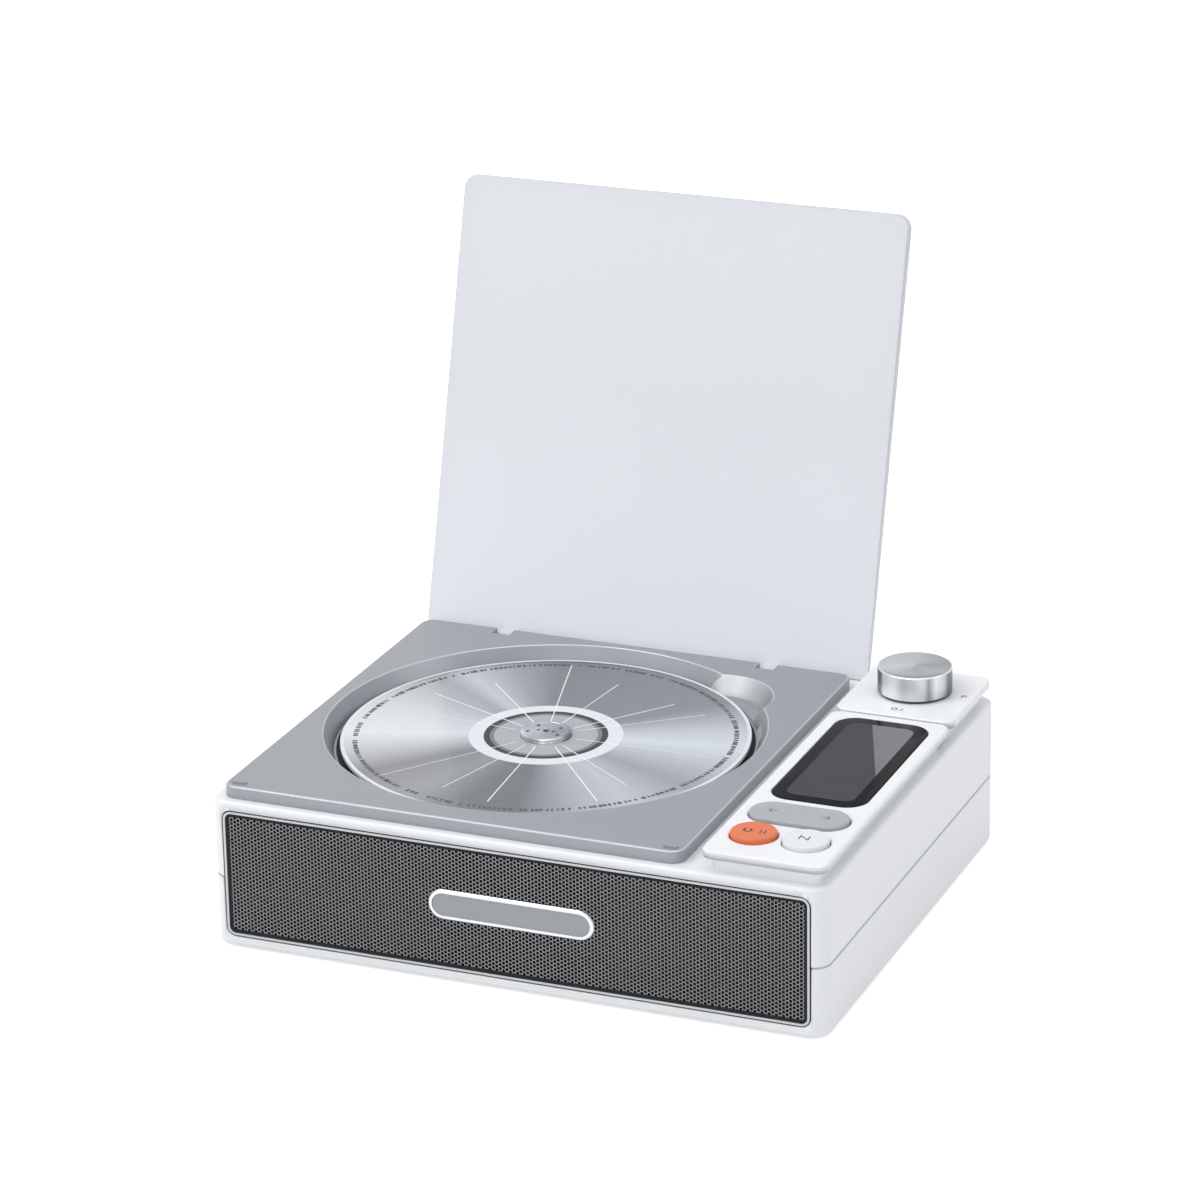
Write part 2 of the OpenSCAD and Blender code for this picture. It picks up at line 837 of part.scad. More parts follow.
module spindle_hub() {
    color(silver)
    translate([disc_x, disc_y, 0])
        difference() {
            union() {
                translate([0, 0, table_low])
                    cylinder(h = table_t, r = table_r);
                translate([0, 0, table_low])
                    cylinder(h = hub_top - table_low - 0.3, r = hub_r);
                translate([0, 0, hub_top - 0.3])
                    cylinder(h = 0.3, r1 = hub_r, r2 = hub_r - 0.3);
                translate([0, 0, chassis_top + 1])
                    cylinder(h = table_low - chassis_top - 1, r = 3);
            }
            translate([0, 0, chassis_low])
                cylinder(h = table_low - chassis_low + 1, r = shaft_r + snug);
        }
}

module spindle_shaft() {
    color(steel)
    translate([disc_x, disc_y, chassis_low - motor_h + 1])
        cylinder(h = table_low + 1 - chassis_low + motor_h - 1, r = shaft_r);
}

module spindle_motor() {
    color(steel)
    translate([disc_x, disc_y, chassis_low - motor_h])
        difference() {
            cylinder(h = motor_h, r = motor_r);
            translate([0, 0, 1 - slip])
                cylinder(h = motor_h, r = shaft_r + slip);
        }
}

module chassis_plate() {
    color(steel)
    translate([0, 0, chassis_low])
        difference() {
            translate([(chassis_x0 + chassis_x1) / 2, (chassis_y0 + chassis_y1) / 2, 0])
                plate(chassis_x1 - chassis_x0, chassis_y1 - chassis_y0, chassis_t, 4);
            translate([disc_x, disc_y, -1])
                cylinder(h = chassis_t + 2, r = 4);
            translate([sled_x0 - 1, disc_y - sled_w / 2 - 1, -1])
                cube([sled_l + sled_travel + 2, sled_w + 2, chassis_t + 2]);
            at_grid(isolator_x, isolator_y)
                translate([0, 0, -1])
                    cylinder(h = chassis_t + 2, r = isolator_neck_r + snug);
        }
}

module chassis_isolators() {
    color(rubber)
    at_grid(isolator_x, isolator_y)
        translate([0, 0, isolator_low])
            difference() {
                union() {
                    cylinder(h = isolator_lip, r = isolator_r);
                    cylinder(h = 2 * isolator_lip + chassis_t, r = isolator_neck_r);
                    translate([0, 0, isolator_lip + chassis_t])
                        cylinder(h = isolator_lip, r = isolator_r);
                }
                translate([0, 0, -1])
                    cylinder(h = 3 * isolator_lip + chassis_t, r = screw_r + 0.1);
            }
}

module chassis_screws() {
    color(steel)
    at_grid(isolator_x, isolator_y)
        translate([0, 0, isolator_top + 1])
            screw(screw_r, isolator_top - isolator_low + 7, 3, 1);
}

module sled_rails() {
    color(steel)
    for (side = [-1, 1])
        translate([rail_start, disc_y + side * rail_y, rail_z])
            rotate([0, 90, 0])
                cylinder(h = rail_l, r = rail_r);
}

module rail_holders() {
    color(dark)
    difference() {
        for (x = [rail_start, rail_end - holder_t], side = [-1, 1])
            translate([x, disc_y + side * rail_y - holder_w / 2, sled_low + soft_gap])
                cube([holder_t, holder_w, chassis_low - sled_low - soft_gap]);
        for (side = [-1, 1])
            translate([rail_start - 1, disc_y + side * rail_y, rail_z])
                rotate([0, 90, 0])
                    cylinder(h = rail_l + 2, r = rail_r + snug);
    }
}

// One tooth that points to +Y, with its pitch line at y = 0
module tooth(h) {
    spread = tan(20);
    linear_extrude(h)
        polygon([[-tooth_half - tooth_root * spread, -tooth_root],
            [tooth_half + tooth_root * spread, -tooth_root],
            [tooth_half - tooth_tip * spread, tooth_tip],
            [tooth_tip * spread - tooth_half, tooth_tip]]);
}

module sled_rack() {
    first = ceil((sled_x0 + 1.4 - pinion_x) / tooth_pitch);
    last = floor((sled_x0 + rack_l - 1.4 - pinion_x) / tooth_pitch);
    translate([sled_x0, rack_pitch_y + tooth_root - eps, rack_low])
        cube([rack_l, rack_w, rack_h + eps]);
    for (i = [first:last])
        translate([pinion_x + i * tooth_pitch, rack_pitch_y, rack_low])
            mirror([0, 1, 0])
                tooth(rack_h);
}

module laser_sled() {
    color(dark)
    difference() {
        union() {
            translate([sled_x0, disc_y - sled_w / 2, sled_low])
                cube([sled_l, sled_w, sled_h]);
            translate([sled_x0, disc_y - rail_y - rail_lug, sled_low])
                cube([sled_l, 2 * (rail_y + rail_lug), 2 * rail_lug]);
            sled_rack();
        }
        for (side = [-1, 1])
            translate([sled_x0 - 1, disc_y + side * rail_y, rail_z])
                rotate([0, 90, 0])
                    cylinder(h = rack_l + 2, r = rail_r + slip);
        translate([lens_x, disc_y, sled_top - 1])
            cylinder(h = 2, r = lens_r + snug);
    }
}

module laser_lens() {
    color(steel)
    translate([lens_x, disc_y, sled_top - 1])
        cylinder(h = 1 + lens_h, r = lens_r);
}

module sled_pinion() {
    color(white)
    translate([pinion_x, pinion_y, rack_low]) {
        for (i = [0:pinion_teeth - 1])
            rotate([0, 0, (i + 0.5) * 360 / pinion_teeth])
                translate([0, pinion_r, 0])
                    tooth(rack_h - soft_gap);
        cylinder(h = rack_h - soft_gap, r = pinion_r - tooth_root + 0.1);
        cylinder(h = rack_h + 3, r = shaft_r);
    }
}

module sled_motor() {
    color(steel)
    translate([pinion_x, pinion_y, sled_motor_low])
        difference() {
            cylinder(h = chassis_low - sled_motor_low, r = sled_motor_r);
            translate([0, 0, -1])
                cylinder(h = 4, r = shaft_r + slip);
        }
}

module main_board() {
    color(board_green)
    difference() {
        translate([pcb_x0, pcb_y0, pcb_low])
            cube([pcb_x1 - pcb_x0, pcb_y1 - pcb_y0, board_t]);
        at_grid(pcb_hole_x, pcb_hole_y)
            translate([0, 0, pcb_low - 1])
                cylinder(h = board_t + 2, r = screw_r + 0.1);
        translate([isolator_x[0], isolator_y[1], pcb_low - 1])
            cylinder(h = board_t + 2, r = boss_r + soft_gap);
    }
}

module board_chips() {
    color(dark)
    translate([pcb_x0, pcb_y0, pcb_top]) {
        translate([54, 26])
            cube([14, 14, 1.6]);
        translate([54, 50])
            cube([10, 6, 1.8]);
        translate([78, 18])
            cube([8, 5, 1.6]);
        for (i = [0:3])
            translate([76 + 7 * i, 48])
                cylinder(h = 9, r = 2.8);
        for (i = [0:2])
            translate([8 + 9 * i, 12])
                cube([6, 6, 3]);
    }
}

module board_screws() {
    color(steel)
    at_grid(pcb_hole_x, pcb_hole_y)
        translate([0, 0, pcb_top + 1])
            screw(screw_r, board_t + 4, 2, 1);
}

module battery_cells() {
    color("#4C7FB0")
    for (side = [-1, 1])
        translate([cell_x - cell_l / 2, cell_y + side * cell_pitch / 2, cell_z])
            rotate([0, 90, 0])
                cylinder(h = cell_l, r = cell_r);
}

module battery_cradle() {
    color(dark)
    difference() {
        for (x = [-cell_l / 2 + 6, cell_l / 2 - 10])
            translate([cell_x + x, cell_y - cell_pitch + 0.4, floor_z])
                cube([4, 2 * cell_pitch - 0.8, cell_lift + cell_r - 1]);
        for (side = [-1, 1])
            translate([cell_x - cell_l / 2, cell_y + side * cell_pitch / 2, cell_z])
                rotate([0, 90, 0])
                    cylinder(h = cell_l, r = cell_r + snug);
    }
}

module usb_port() {
    color(steel)
    translate([port_x, socket_y, pcb_top + port_h / 2])
        rotate([90, 0, 0])
            difference() {
                plate(port_w, port_h, port_l, port_h / 2 - eps);
                translate([0, 0, -1])
                    plate(port_w - 2 * port_wall, port_h - 2 * port_wall, port_l,
                        port_h / 2 - port_wall - eps);
            }
}

module headphone_jack() {
    color(dark)
    difference() {
        union() {
            translate([jack_x, socket_y, jack_z])
                rotate([90, 0, 0])
                    cylinder(h = 5, r = jack_nose_r);
            translate([jack_x - 3.5, socket_y - jack_l - 1, pcb_top])
                cube([7, jack_l + 1 - (socket_y - inner_y) - 0.3, 7]);
        }
        translate([jack_x, socket_y + 1, jack_z])
            rotate([90, 0, 0])
                cylinder(h = jack_l + 1, r = jack_r);
    }
}

module control_plate() {
    color(white)
    difference() {
        union() {
            translate([panel_x, panel_y, panel_low])
                edged_plate(panel_w, panel_d, panel_t, panel_corner_r, 0.3);
            translate([panel_x, panel_y, case_top])
                difference() {
                    plate(panel_w - 2 * neck_inset, panel_d - 2 * neck_inset, neck_h + eps, 2.5);
                    translate([0, 0, -1])
                        plate(neck_in_w, neck_in_front_d, neck_h + 1, 1);
                }
            for (sx = [-1, 1])
                translate([panel_x + sx * panel_boss_x, panel_boss_y, board_top])
                    cylinder(h = panel_low - board_top + eps, r = panel_boss_r);
            for (side = [-1, 1])
                translate([panel_x - 3, rocker_y + side * (rocker_d / 2 + button_clear + ear_t / 2)
                    - ear_t / 2, rocker_pivot_z - 2])
                    cube([6, ear_t, panel_low - rocker_pivot_z + 2 + eps]);
        }
        for (x = button_x)
            translate([x, button_y, button_low - button_travel - button_clear])
                cylinder(h = neck_h + panel_t, r = button_r + button_clear);
        translate([panel_x, rocker_y, rocker_low - 0.8])
            plate(rocker_w + 2 * button_clear, rocker_d + 2 * button_clear, neck_h + panel_t,
                rocker_d / 2 + button_clear - eps);
        translate([panel_x, rocker_y, rocker_pivot_z])
            rotate([90, 0, 0])
                cylinder(h = 3 * rocker_d, r = rocker_pin_r + slip, center = true);
        translate([panel_x, window_y, panel_top - window_t - snug])
            plate(window_w + 0.1, window_d + 0.1, window_t + 1, window_corner_r);
        translate([panel_x, window_y, panel_low - 1])
            plate(window_w - 2 * window_lip, window_d - 2 * window_lip, panel_t, 2);
        for (sx = [-1, 1])
            translate([panel_x + sx * panel_boss_x, panel_boss_y, board_top - 1])
                cylinder(h = 6, r = panel_screw_r + snug);
    }
}

module knob_plate() {
    color(white)
    difference() {
        union() {
            translate([panel_x, rear_y, rear_low])
                edged_plate(panel_w, rear_d, panel_t, panel_corner_r, 0.3);
            translate([panel_x, rear_y, case_top])
                difference() {
                    plate(panel_w - 2 * neck_inset, rear_d - 2 * neck_inset,
                        neck_h + rear_rise + eps, 2.5);
                    translate([0, 0, -1])
                        plate(neck_in_w, neck_in_rear_d, neck_h + rear_rise + 1, 1);
                }
            for (sx = [-1, 1])
                translate([panel_x + sx * panel_boss_x, rear_boss_y, board_top])
                    cylinder(h = rear_low - board_top + eps, r = panel_boss_r);
        }
        translate([panel_x, knob_y, rear_low - 1])
            cylinder(h = panel_t + 2, r = volume_r + 0.4);
        for (sx = [-1, 1])
            translate([panel_x + sx * panel_boss_x, rear_boss_y, board_top - 1])
                cylinder(h = 6, r = panel_screw_r + snug);
    }
}

module control_board() {
    color(board_green)
    difference() {
        translate([board_x0, -board_y, board_low])
            cube([board_x1 - board_x0, 2 * board_y, board_t]);
        for (sx = [-1, 1], y = [panel_boss_y, rear_boss_y])
            translate([panel_x + sx * panel_boss_x, y, board_low - 1])
                cylinder(h = board_t + 2, r = panel_screw_r + 0.1);
    }
}

module panel_screws() {
    color(steel)
    for (sx = [-1, 1], y = [panel_boss_y, rear_boss_y])
        translate([panel_x + sx * panel_boss_x, y, board_low - 0.8])
            mirror([0, 0, 1])
                screw(panel_screw_r, board_t + 4.5, 1.6, 0.8);
}

module tact_switch() {
    translate([-switch_w / 2, -switch_w / 2, board_top])
        cube([switch_w, switch_w, switch_h]);
    translate([0, 0, board_top])
        cylinder(h = plunger_top - board_top, r = plunger_r);
}

module tact_switches() {
    color(dark) {
        for (x = button_x)
            translate([x, button_y, 0])
                tact_switch();
        for (x = key_x)
            translate([panel_x + x, rocker_y, 0])
                tact_switch();
    }
}

module display_window() {
    color(dark)
    translate([panel_x, window_y, panel_top - window_t])
        plate(window_w, window_d, window_t, window_corner_r);
}

module display_module() {
    color("#5A5B5E")
    translate([panel_x, window_y, board_top])
        plate(window_w - 2 * window_lip - 2, window_d - 2 * window_lip - 2,
            panel_low - board_top + 0.6, 1);
}

// Button with a stem below it and a flange that the neck's walls trim
module round_button(x) {
    difference() {
        union() {
            translate([x, button_y, button_low])
                cylinder(h = panel_top + button_proud - button_low, r = button_r);
            intersection() {
                translate([x, button_y, button_low])
                    cylinder(h = flange_t, r = button_r + flange);
                translate([panel_x - neck_in_w / 2 + button_clear, panel_y - panel_d, 0])
                    cube([neck_in_w - 2 * button_clear, panel_d, panel_top]);
            }
        }
        translate([x, button_y, button_low - 1])
            cylinder(h = panel_top - button_low, r = button_r - 1.2);
    }
    translate([x, button_y, stem_low])
        cylinder(h = panel_top - stem_low, r = stem_r);
}

module power_button() {
    color(orange)
    round_button(button_x[0]);
}

module mode_button() {
    color(white)
    round_button(button_x[1]);
}

module track_rocker() {
    color(rocker_grey)
    translate([panel_x, rocker_y, 0]) {
        translate([0, 0, rocker_low])
            plate(rocker_w, rocker_d, panel_top + rocker_proud - rocker_low, rocker_d / 2 - eps);
        translate([0, 0, rocker_pivot_z])
            rotate([90, 0, 0])
                cylinder(h = 2 * rocker_pin_l, r = rocker_pin_r, center = true);
        for (x = key_x)
            translate([x, 0, plunger_top + 0.4])
                cylinder(h = rocker_low - plunger_top, r = stem_r);
    }
}

module volume_knob() {
    color(silver)
    translate([panel_x, knob_y, knob_low])
        difference() {
            union() {
                cylinder(h = knob_top - knob_low - 0.4, r = knob_r);
                translate([0, 0, knob_top - knob_low - 0.4])
                    cylinder(h = 0.4, r1 = knob_r, r2 = knob_r - 0.4);
            }
            translate([0, 0, -1])
                difference() {
                    cylinder(h = knob_top - knob_low - knob_wall, r = knob_r - knob_wall);
                    cylinder(h = knob_h + 2, r = volume_r + knob_wall);
                }
            translate([0, 0, -1])
                cylinder(h = knob_top - knob_low - 1, r = volume_r + snug);
        }
}

module volume_shaft() {
    color(steel)
    translate([panel_x, knob_y, board_top + 2])
        cylinder(h = knob_top - board_top - 4.2, r = volume_r);
}

module volume_encoder() {
    color(steel)
    translate([panel_x, knob_y, board_top])
        difference() {
            translate([-encoder_w / 2, -encoder_w / 2, 0])
                cube([encoder_w, encoder_w, encoder_top - board_top]);
            translate([0, 0, 2 - slip])
                cylinder(h = encoder_top - board_top, r = volume_r + slip);
        }
}

lower_case();
upper_case();
rubber_feet();
case_screws();
grille_frame();
speaker_grille();
grille_badge();
speaker_baskets();
speaker_cones();
speaker_magnets();
deck_plate();
deck_bumpers();
hinge_pins();
lid_panel();
disc();
spindle_hub();
spindle_shaft();
spindle_motor();
chassis_plate();
chassis_isolators();
chassis_screws();
sled_rails();
rail_holders();
laser_sled();
laser_lens();
sled_pinion();
sled_motor();
main_board();
board_chips();
board_screws();
battery_cells();
battery_cradle();
usb_port();
headphone_jack();
control_plate();
knob_plate();
control_board();
panel_screws();
tact_switches();
display_window();
display_module();
track_rocker();
power_button();
mode_button();
volume_knob();
volume_shaft();
volume_encoder();
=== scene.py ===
import json
import math
import bpy
import bmesh
from mathutils import Matrix, Vector


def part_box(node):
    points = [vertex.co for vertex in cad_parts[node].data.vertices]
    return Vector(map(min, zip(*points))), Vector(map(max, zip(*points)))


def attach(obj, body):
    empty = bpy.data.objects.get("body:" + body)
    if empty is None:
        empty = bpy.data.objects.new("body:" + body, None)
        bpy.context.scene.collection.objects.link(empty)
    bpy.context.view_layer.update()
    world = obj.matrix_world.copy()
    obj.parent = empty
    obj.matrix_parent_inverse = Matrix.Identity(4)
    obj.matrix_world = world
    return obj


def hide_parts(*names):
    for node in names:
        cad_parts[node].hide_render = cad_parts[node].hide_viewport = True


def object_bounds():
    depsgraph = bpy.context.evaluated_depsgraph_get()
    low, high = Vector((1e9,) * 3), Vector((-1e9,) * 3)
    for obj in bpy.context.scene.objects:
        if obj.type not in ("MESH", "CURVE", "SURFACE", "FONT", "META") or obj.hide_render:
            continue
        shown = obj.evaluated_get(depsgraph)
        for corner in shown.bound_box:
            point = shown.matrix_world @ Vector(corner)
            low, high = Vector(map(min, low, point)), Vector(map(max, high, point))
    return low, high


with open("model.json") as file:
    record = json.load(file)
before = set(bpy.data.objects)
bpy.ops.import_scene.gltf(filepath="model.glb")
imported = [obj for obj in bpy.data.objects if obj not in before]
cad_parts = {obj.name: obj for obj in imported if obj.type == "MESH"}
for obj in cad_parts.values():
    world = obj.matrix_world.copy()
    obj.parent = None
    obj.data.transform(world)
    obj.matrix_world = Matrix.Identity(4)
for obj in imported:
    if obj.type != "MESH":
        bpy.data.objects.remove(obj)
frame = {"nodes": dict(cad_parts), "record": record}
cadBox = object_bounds()
mm = 0.001
broadFace = 3e-4  # in square metres; only the broad sides of shells and sheets are larger
flush = 0.02 * mm  # a print's height over its surface, and how near counts as level
sharpAngle = 35  # in degrees; edges sharper than this stay crisp
print("stage: frame loaded, nodes", len(frame["nodes"]))


# small helpers

def hexColour(code):  # sRGB hex to the linear values that shaders take
    parts = [int(code[i:i + 2], 16) / 255 for i in (1, 3, 5)]
    linear = [c / 12.92 if c <= 0.04045 else ((c + 0.055) / 1.055) ** 2.4 for c in parts]
    return (*linear, 1)


def addNode(tree, kind, settings=None, links=None):
    node = tree.nodes.new(kind)
    for name, value in (settings or {}).items():
        if name.startswith("in:"):
            key = name[3:]
            node.inputs[int(key) if key.isdigit() else key].default_value = value
        else:
            setattr(node, name, value)
    for key, source in (links or {}).items():
        tree.links.new(source, node.inputs[key])
    return node


def feed(tree, socket, value):  # a number sets the socket, another node's output is linked
    if isinstance(value, (int, float)):
        socket.default_value = value
    else:
        tree.links.new(value, socket)


def calculate(tree, operation, first, second=0):
    node = addNode(tree, "ShaderNodeMath", {"operation": operation})
    feed(tree, node.inputs[0], first)
    feed(tree, node.inputs[1], second)
    return node.outputs[0]


def newMaterial(name):
    material = bpy.data.materials.new(name)
    material.use_nodes = True
    material.node_tree.nodes.clear()
    return material, material.node_tree


def finishMaterial(material, tree, surface):
    addNode(tree, "ShaderNodeOutputMaterial", links={"Surface": surface})
    return material


def nodeMiddle(node):
    low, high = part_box(node)
    return (low + high) / 2


def roundedLoop(width, depth, radius, middle, z, steps):
    radius = max(radius, 0.02 * mm)
    points = []
    for corner in range(4):
        sx = (1, -1, -1, 1)[corner]
        sy = (1, 1, -1, -1)[corner]
        cx = middle[0] + sx * (width / 2 - radius)
        cy = middle[1] + sy * (depth / 2 - radius)
        for i in range(steps + 1):
            angle = math.radians(90 * (corner + i / steps))
            points.append(Vector((cx + radius * math.cos(angle), cy + radius * math.sin(angle), z)))
    return points


def insetLoops(size, radius, middle, profile, steps):
    # rounded outlines, each drawn in from the size by its inset and put at its height
    return [roundedLoop(size[0] - 2 * inset, size[1] - 2 * inset, radius - inset, middle, z, steps)
            for inset, z in profile]


def roundedProfile(low, high, edge, rounds=4):
    # insets and heights of a slab whose lower and upper edges are rounded
    turns = [math.radians(90 * i / rounds) for i in range(rounds + 1)]
    bottom = [(edge * (1 - math.cos(t)), low + edge * (1 - math.sin(t))) for t in reversed(turns)]
    top = [(edge * (1 - math.cos(t)), high - edge * (1 - math.sin(t))) for t in turns]
    return bottom + top


def circleLoop(radius, middle, z, steps):
    return [Vector((middle[0] + radius * math.cos(2 * math.pi * i / steps),
                    middle[1] + radius * math.sin(2 * math.pi * i / steps), z)) for i in range(steps)]


def turnedLoops(profile, middle, steps):  # radii and heights in millimetres
    return [circleLoop(r * mm, middle, z * mm, steps) for r, z in profile]


def stackLoops(bm, loops, closeEnds=True, ring=False, slots=None):
    # a skin over loops of equal count, with caps, or closed back to the first loop
    rows = [[bm.verts.new(p) for p in loop] for loop in loops]
    if ring:
        rows.append(rows[0])
    slots = slots or [0] * len(rows)
    count = len(rows[0])
    for level, (low, high) in enumerate(zip(rows, rows[1:])):
        for i in range(count):
            j = (i + 1) % count
            bm.faces.new((low[i], low[j], high[j], high[i])).material_index = slots[level]
    if closeEnds and not ring:
        bm.faces.new(list(reversed(rows[0]))).material_index = slots[0]
        bm.faces.new(rows[-1]).material_index = slots[-1]


def addFace(bm, points):
    bm.faces.new([bm.verts.new(p) for p in points])


def shadeSmooth(mesh):
    mesh.shade_smooth()
    mesh.set_sharp_from_angle(angle=math.radians(sharpAngle))


def makePiece(name, bm, materials, matrix=None):
    mesh = bpy.data.meshes.new(name)
    if matrix is not None:
        bmesh.ops.transform(bm, matrix=matrix, verts=bm.verts)
    bmesh.ops.recalc_face_normals(bm, faces=bm.faces)
    bm.to_mesh(mesh)
    bm.free()
    for material in materials:
        mesh.materials.append(material)
    shadeSmooth(mesh)
    piece = bpy.data.objects.new(name, mesh)
    bpy.context.scene.collection.objects.link(piece)
    return piece


def applyModifiers(piece):
    bpy.context.view_layer.update()
    graph = bpy.context.evaluated_depsgraph_get()
    mesh = bpy.data.meshes.new_from_object(piece.evaluated_get(graph), depsgraph=graph)
    piece.modifiers.clear()
    piece.data = mesh
    return mesh


def bakeModifiers(piece):
    shadeSmooth(applyModifiers(piece))
    return piece


def evenNormals(piece):
    # broad flat faces keep their own normals beside narrow rounded ones
    modifier = piece.modifiers.new("evenNormals", "WEIGHTED_NORMAL")
    modifier.keep_sharp = True
    modifier.weight = 90
    mesh = applyModifiers(piece)
    normals = [Vector(corner.vector) for corner in mesh.corner_normals]
    for face in mesh.polygons:
        if face.area > broadFace:
            for i in face.loop_indices:
                normals[i] = face.normal
    mesh.normals_split_custom_set(normals)
    return piece


def place(piece, body, slot, *nodes):
    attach(piece, body)
    if nodes:
        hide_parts(*nodes)


# materials: each is a real material with its surface

def objectPlace(tree):
    return addNode(tree, "ShaderNodeTexCoord").outputs["Object"]


def noiseOver(tree, scale, detail, where=None):
    # noise from 0 to 1 over the piece's own metres
    if where is None:
        where = objectPlace(tree)
    return addNode(tree, "ShaderNodeTexNoise", {"in:Scale": scale, "in:Detail": detail},
                   {"Vector": where}).outputs["Fac"]


def spread(tree, value, low, high):
    # a value from 0 to 1 spread between two limits
    return addNode(tree, "ShaderNodeMapRange", {"in:To Min": low, "in:To Max": high},
                   {"Value": value}).outputs["Result"]


def bumpFrom(tree, height, strength, distance):
    return addNode(tree, "ShaderNodeBump", {"in:Strength": strength, "in:Distance": distance},
                   {"Height": height}).outputs["Normal"]


def twoTone(tree, value, code, change):
    # a colour between a little darker and a little lighter, by a value from 0 to 1
    colour = hexColour(code)
    ramp = addNode(tree, "ShaderNodeValToRGB", links={"Fac": value})
    for mark, gain in zip(ramp.color_ramp.elements, (1 - change, 1 + change)):
        mark.color = (*[min(1, c * gain) for c in colour[:3]], 1)
    return ramp.outputs["Color"]


def mouldedPlastic(name, code, roughness, grain=0.35):
    # ABS from a spark eroded mould: matt, with a fine even grain and faint cloudiness
    material, tree = newMaterial(name)
    cloud = noiseOver(tree, 45.0, 2.0)
    spark = noiseOver(tree, 1 / (grain * mm), 3.0)
    shader = addNode(tree, "ShaderNodeBsdfPrincipled", {"in:IOR": 1.53},
                     {"Base Color": twoTone(tree, cloud, code, 0.02),
                      "Roughness": spread(tree, cloud, roughness - 0.04, roughness + 0.04),
                      "Normal": bumpFrom(tree, spark, 0.25, 0.02 * mm)})
    return finishMaterial(material, tree, shader.outputs["BSDF"])


def brushedMetal(name, code, roughness, stretch=(1, 1, 1), anisotropy=0.5):
    # anodised aluminium or steel with fine machining lines that stretch one way
    material, tree = newMaterial(name)
    mapping = addNode(tree, "ShaderNodeMapping", {"in:Scale": stretch}, {"Vector": objectPlace(tree)})
    lines = noiseOver(tree, 900.0, 4.0, mapping.outputs["Vector"])
    shader = addNode(tree, "ShaderNodeBsdfPrincipled",
                     {"in:Base Color": hexColour(code), "in:Metallic": 1.0, "in:Anisotropic": anisotropy},
                     {"Roughness": spread(tree, lines, roughness - 0.05, roughness + 0.08),
                      "Normal": bumpFrom(tree, lines, 0.08, 0.01 * mm)})
    return finishMaterial(material, tree, shader.outputs["BSDF"])


# the lid's colour is raised by the gain low down, fading to plain by the upper height: painted light
lidPaintedLight = {"low": 50 * mm, "high": 120 * mm, "gain": 1.1}


def frostedSheet(name, code, roughness, through, paintedLight):
    # frosted polycarbonate: matt and milky, so part of what lights its back comes through,
    # and painted a little paler near its hinge, painted light where less light reaches it
    material, tree = newMaterial(name)
    cloud = noiseOver(tree, 14.0, 1.0)
    frost = noiseOver(tree, 1 / (0.5 * mm), 3.0)
    height = addNode(tree, "ShaderNodeSeparateXYZ", links={0: objectPlace(tree)})
    shade = addNode(tree, "ShaderNodeMapRange",
                    {"in:From Min": paintedLight["low"], "in:From Max": paintedLight["high"],
                     "in:To Min": paintedLight["gain"], "in:To Max": 1.0}, {"Value": height.outputs["Z"]})
    tint = addNode(tree, "ShaderNodeVectorMath", {"operation": "SCALE", "in:0": hexColour(code)[:3]},
                   {"Scale": shade.outputs["Result"]})
    face = addNode(tree, "ShaderNodeBsdfPrincipled", {"in:IOR": 1.58},
                   {"Base Color": tint.outputs[0],
                    "Roughness": spread(tree, cloud, roughness - 0.02, roughness + 0.03),
                    "Normal": bumpFrom(tree, frost, 0.06, 0.01 * mm)})
    glow = addNode(tree, "ShaderNodeBsdfTranslucent", {"in:Color": hexColour(code)})
    mix = addNode(tree, "ShaderNodeMixShader", {"in:0": through},
                  {1: face.outputs["BSDF"], 2: glow.outputs[0]})
    return finishMaterial(material, tree, mix.outputs[0])


def metallicPaint(name, code, roughness, metallic):
    # satin paint with fine aluminium flake: grey, with a soft directional sheen
    material, tree = newMaterial(name)
    flake = noiseOver(tree, 1 / (0.14 * mm), 1.0)
    shader = addNode(tree, "ShaderNodeBsdfPrincipled", {"in:Metallic": metallic},
                     {"Base Color": twoTone(tree, flake, code, 0.06),
                      "Roughness": spread(tree, flake, roughness - 0.03, roughness + 0.03)})
    return finishMaterial(material, tree, shader.outputs["BSDF"])


def fillFan(marks, fan):
    # a colour ramp's marks from grey levels by angle in degrees, whose two ends meet
    stops = sorted((((a + 180) % 360) / 360, level) for a, level in fan)
    across = (stops[0][1] + stops[-1][1]) // 2
    while len(marks) > 1:
        marks.remove(marks[-1])
    for i, (at, level) in enumerate([(0.0, across)] + stops + [(1.0, across)]):
        mark = marks[0] if i == 0 else marks.new(at)
        mark.position = at
        mark.color = hexColour("#%02X%02X%02X" % (level, min(255, level + 3), min(255, level + 7)))


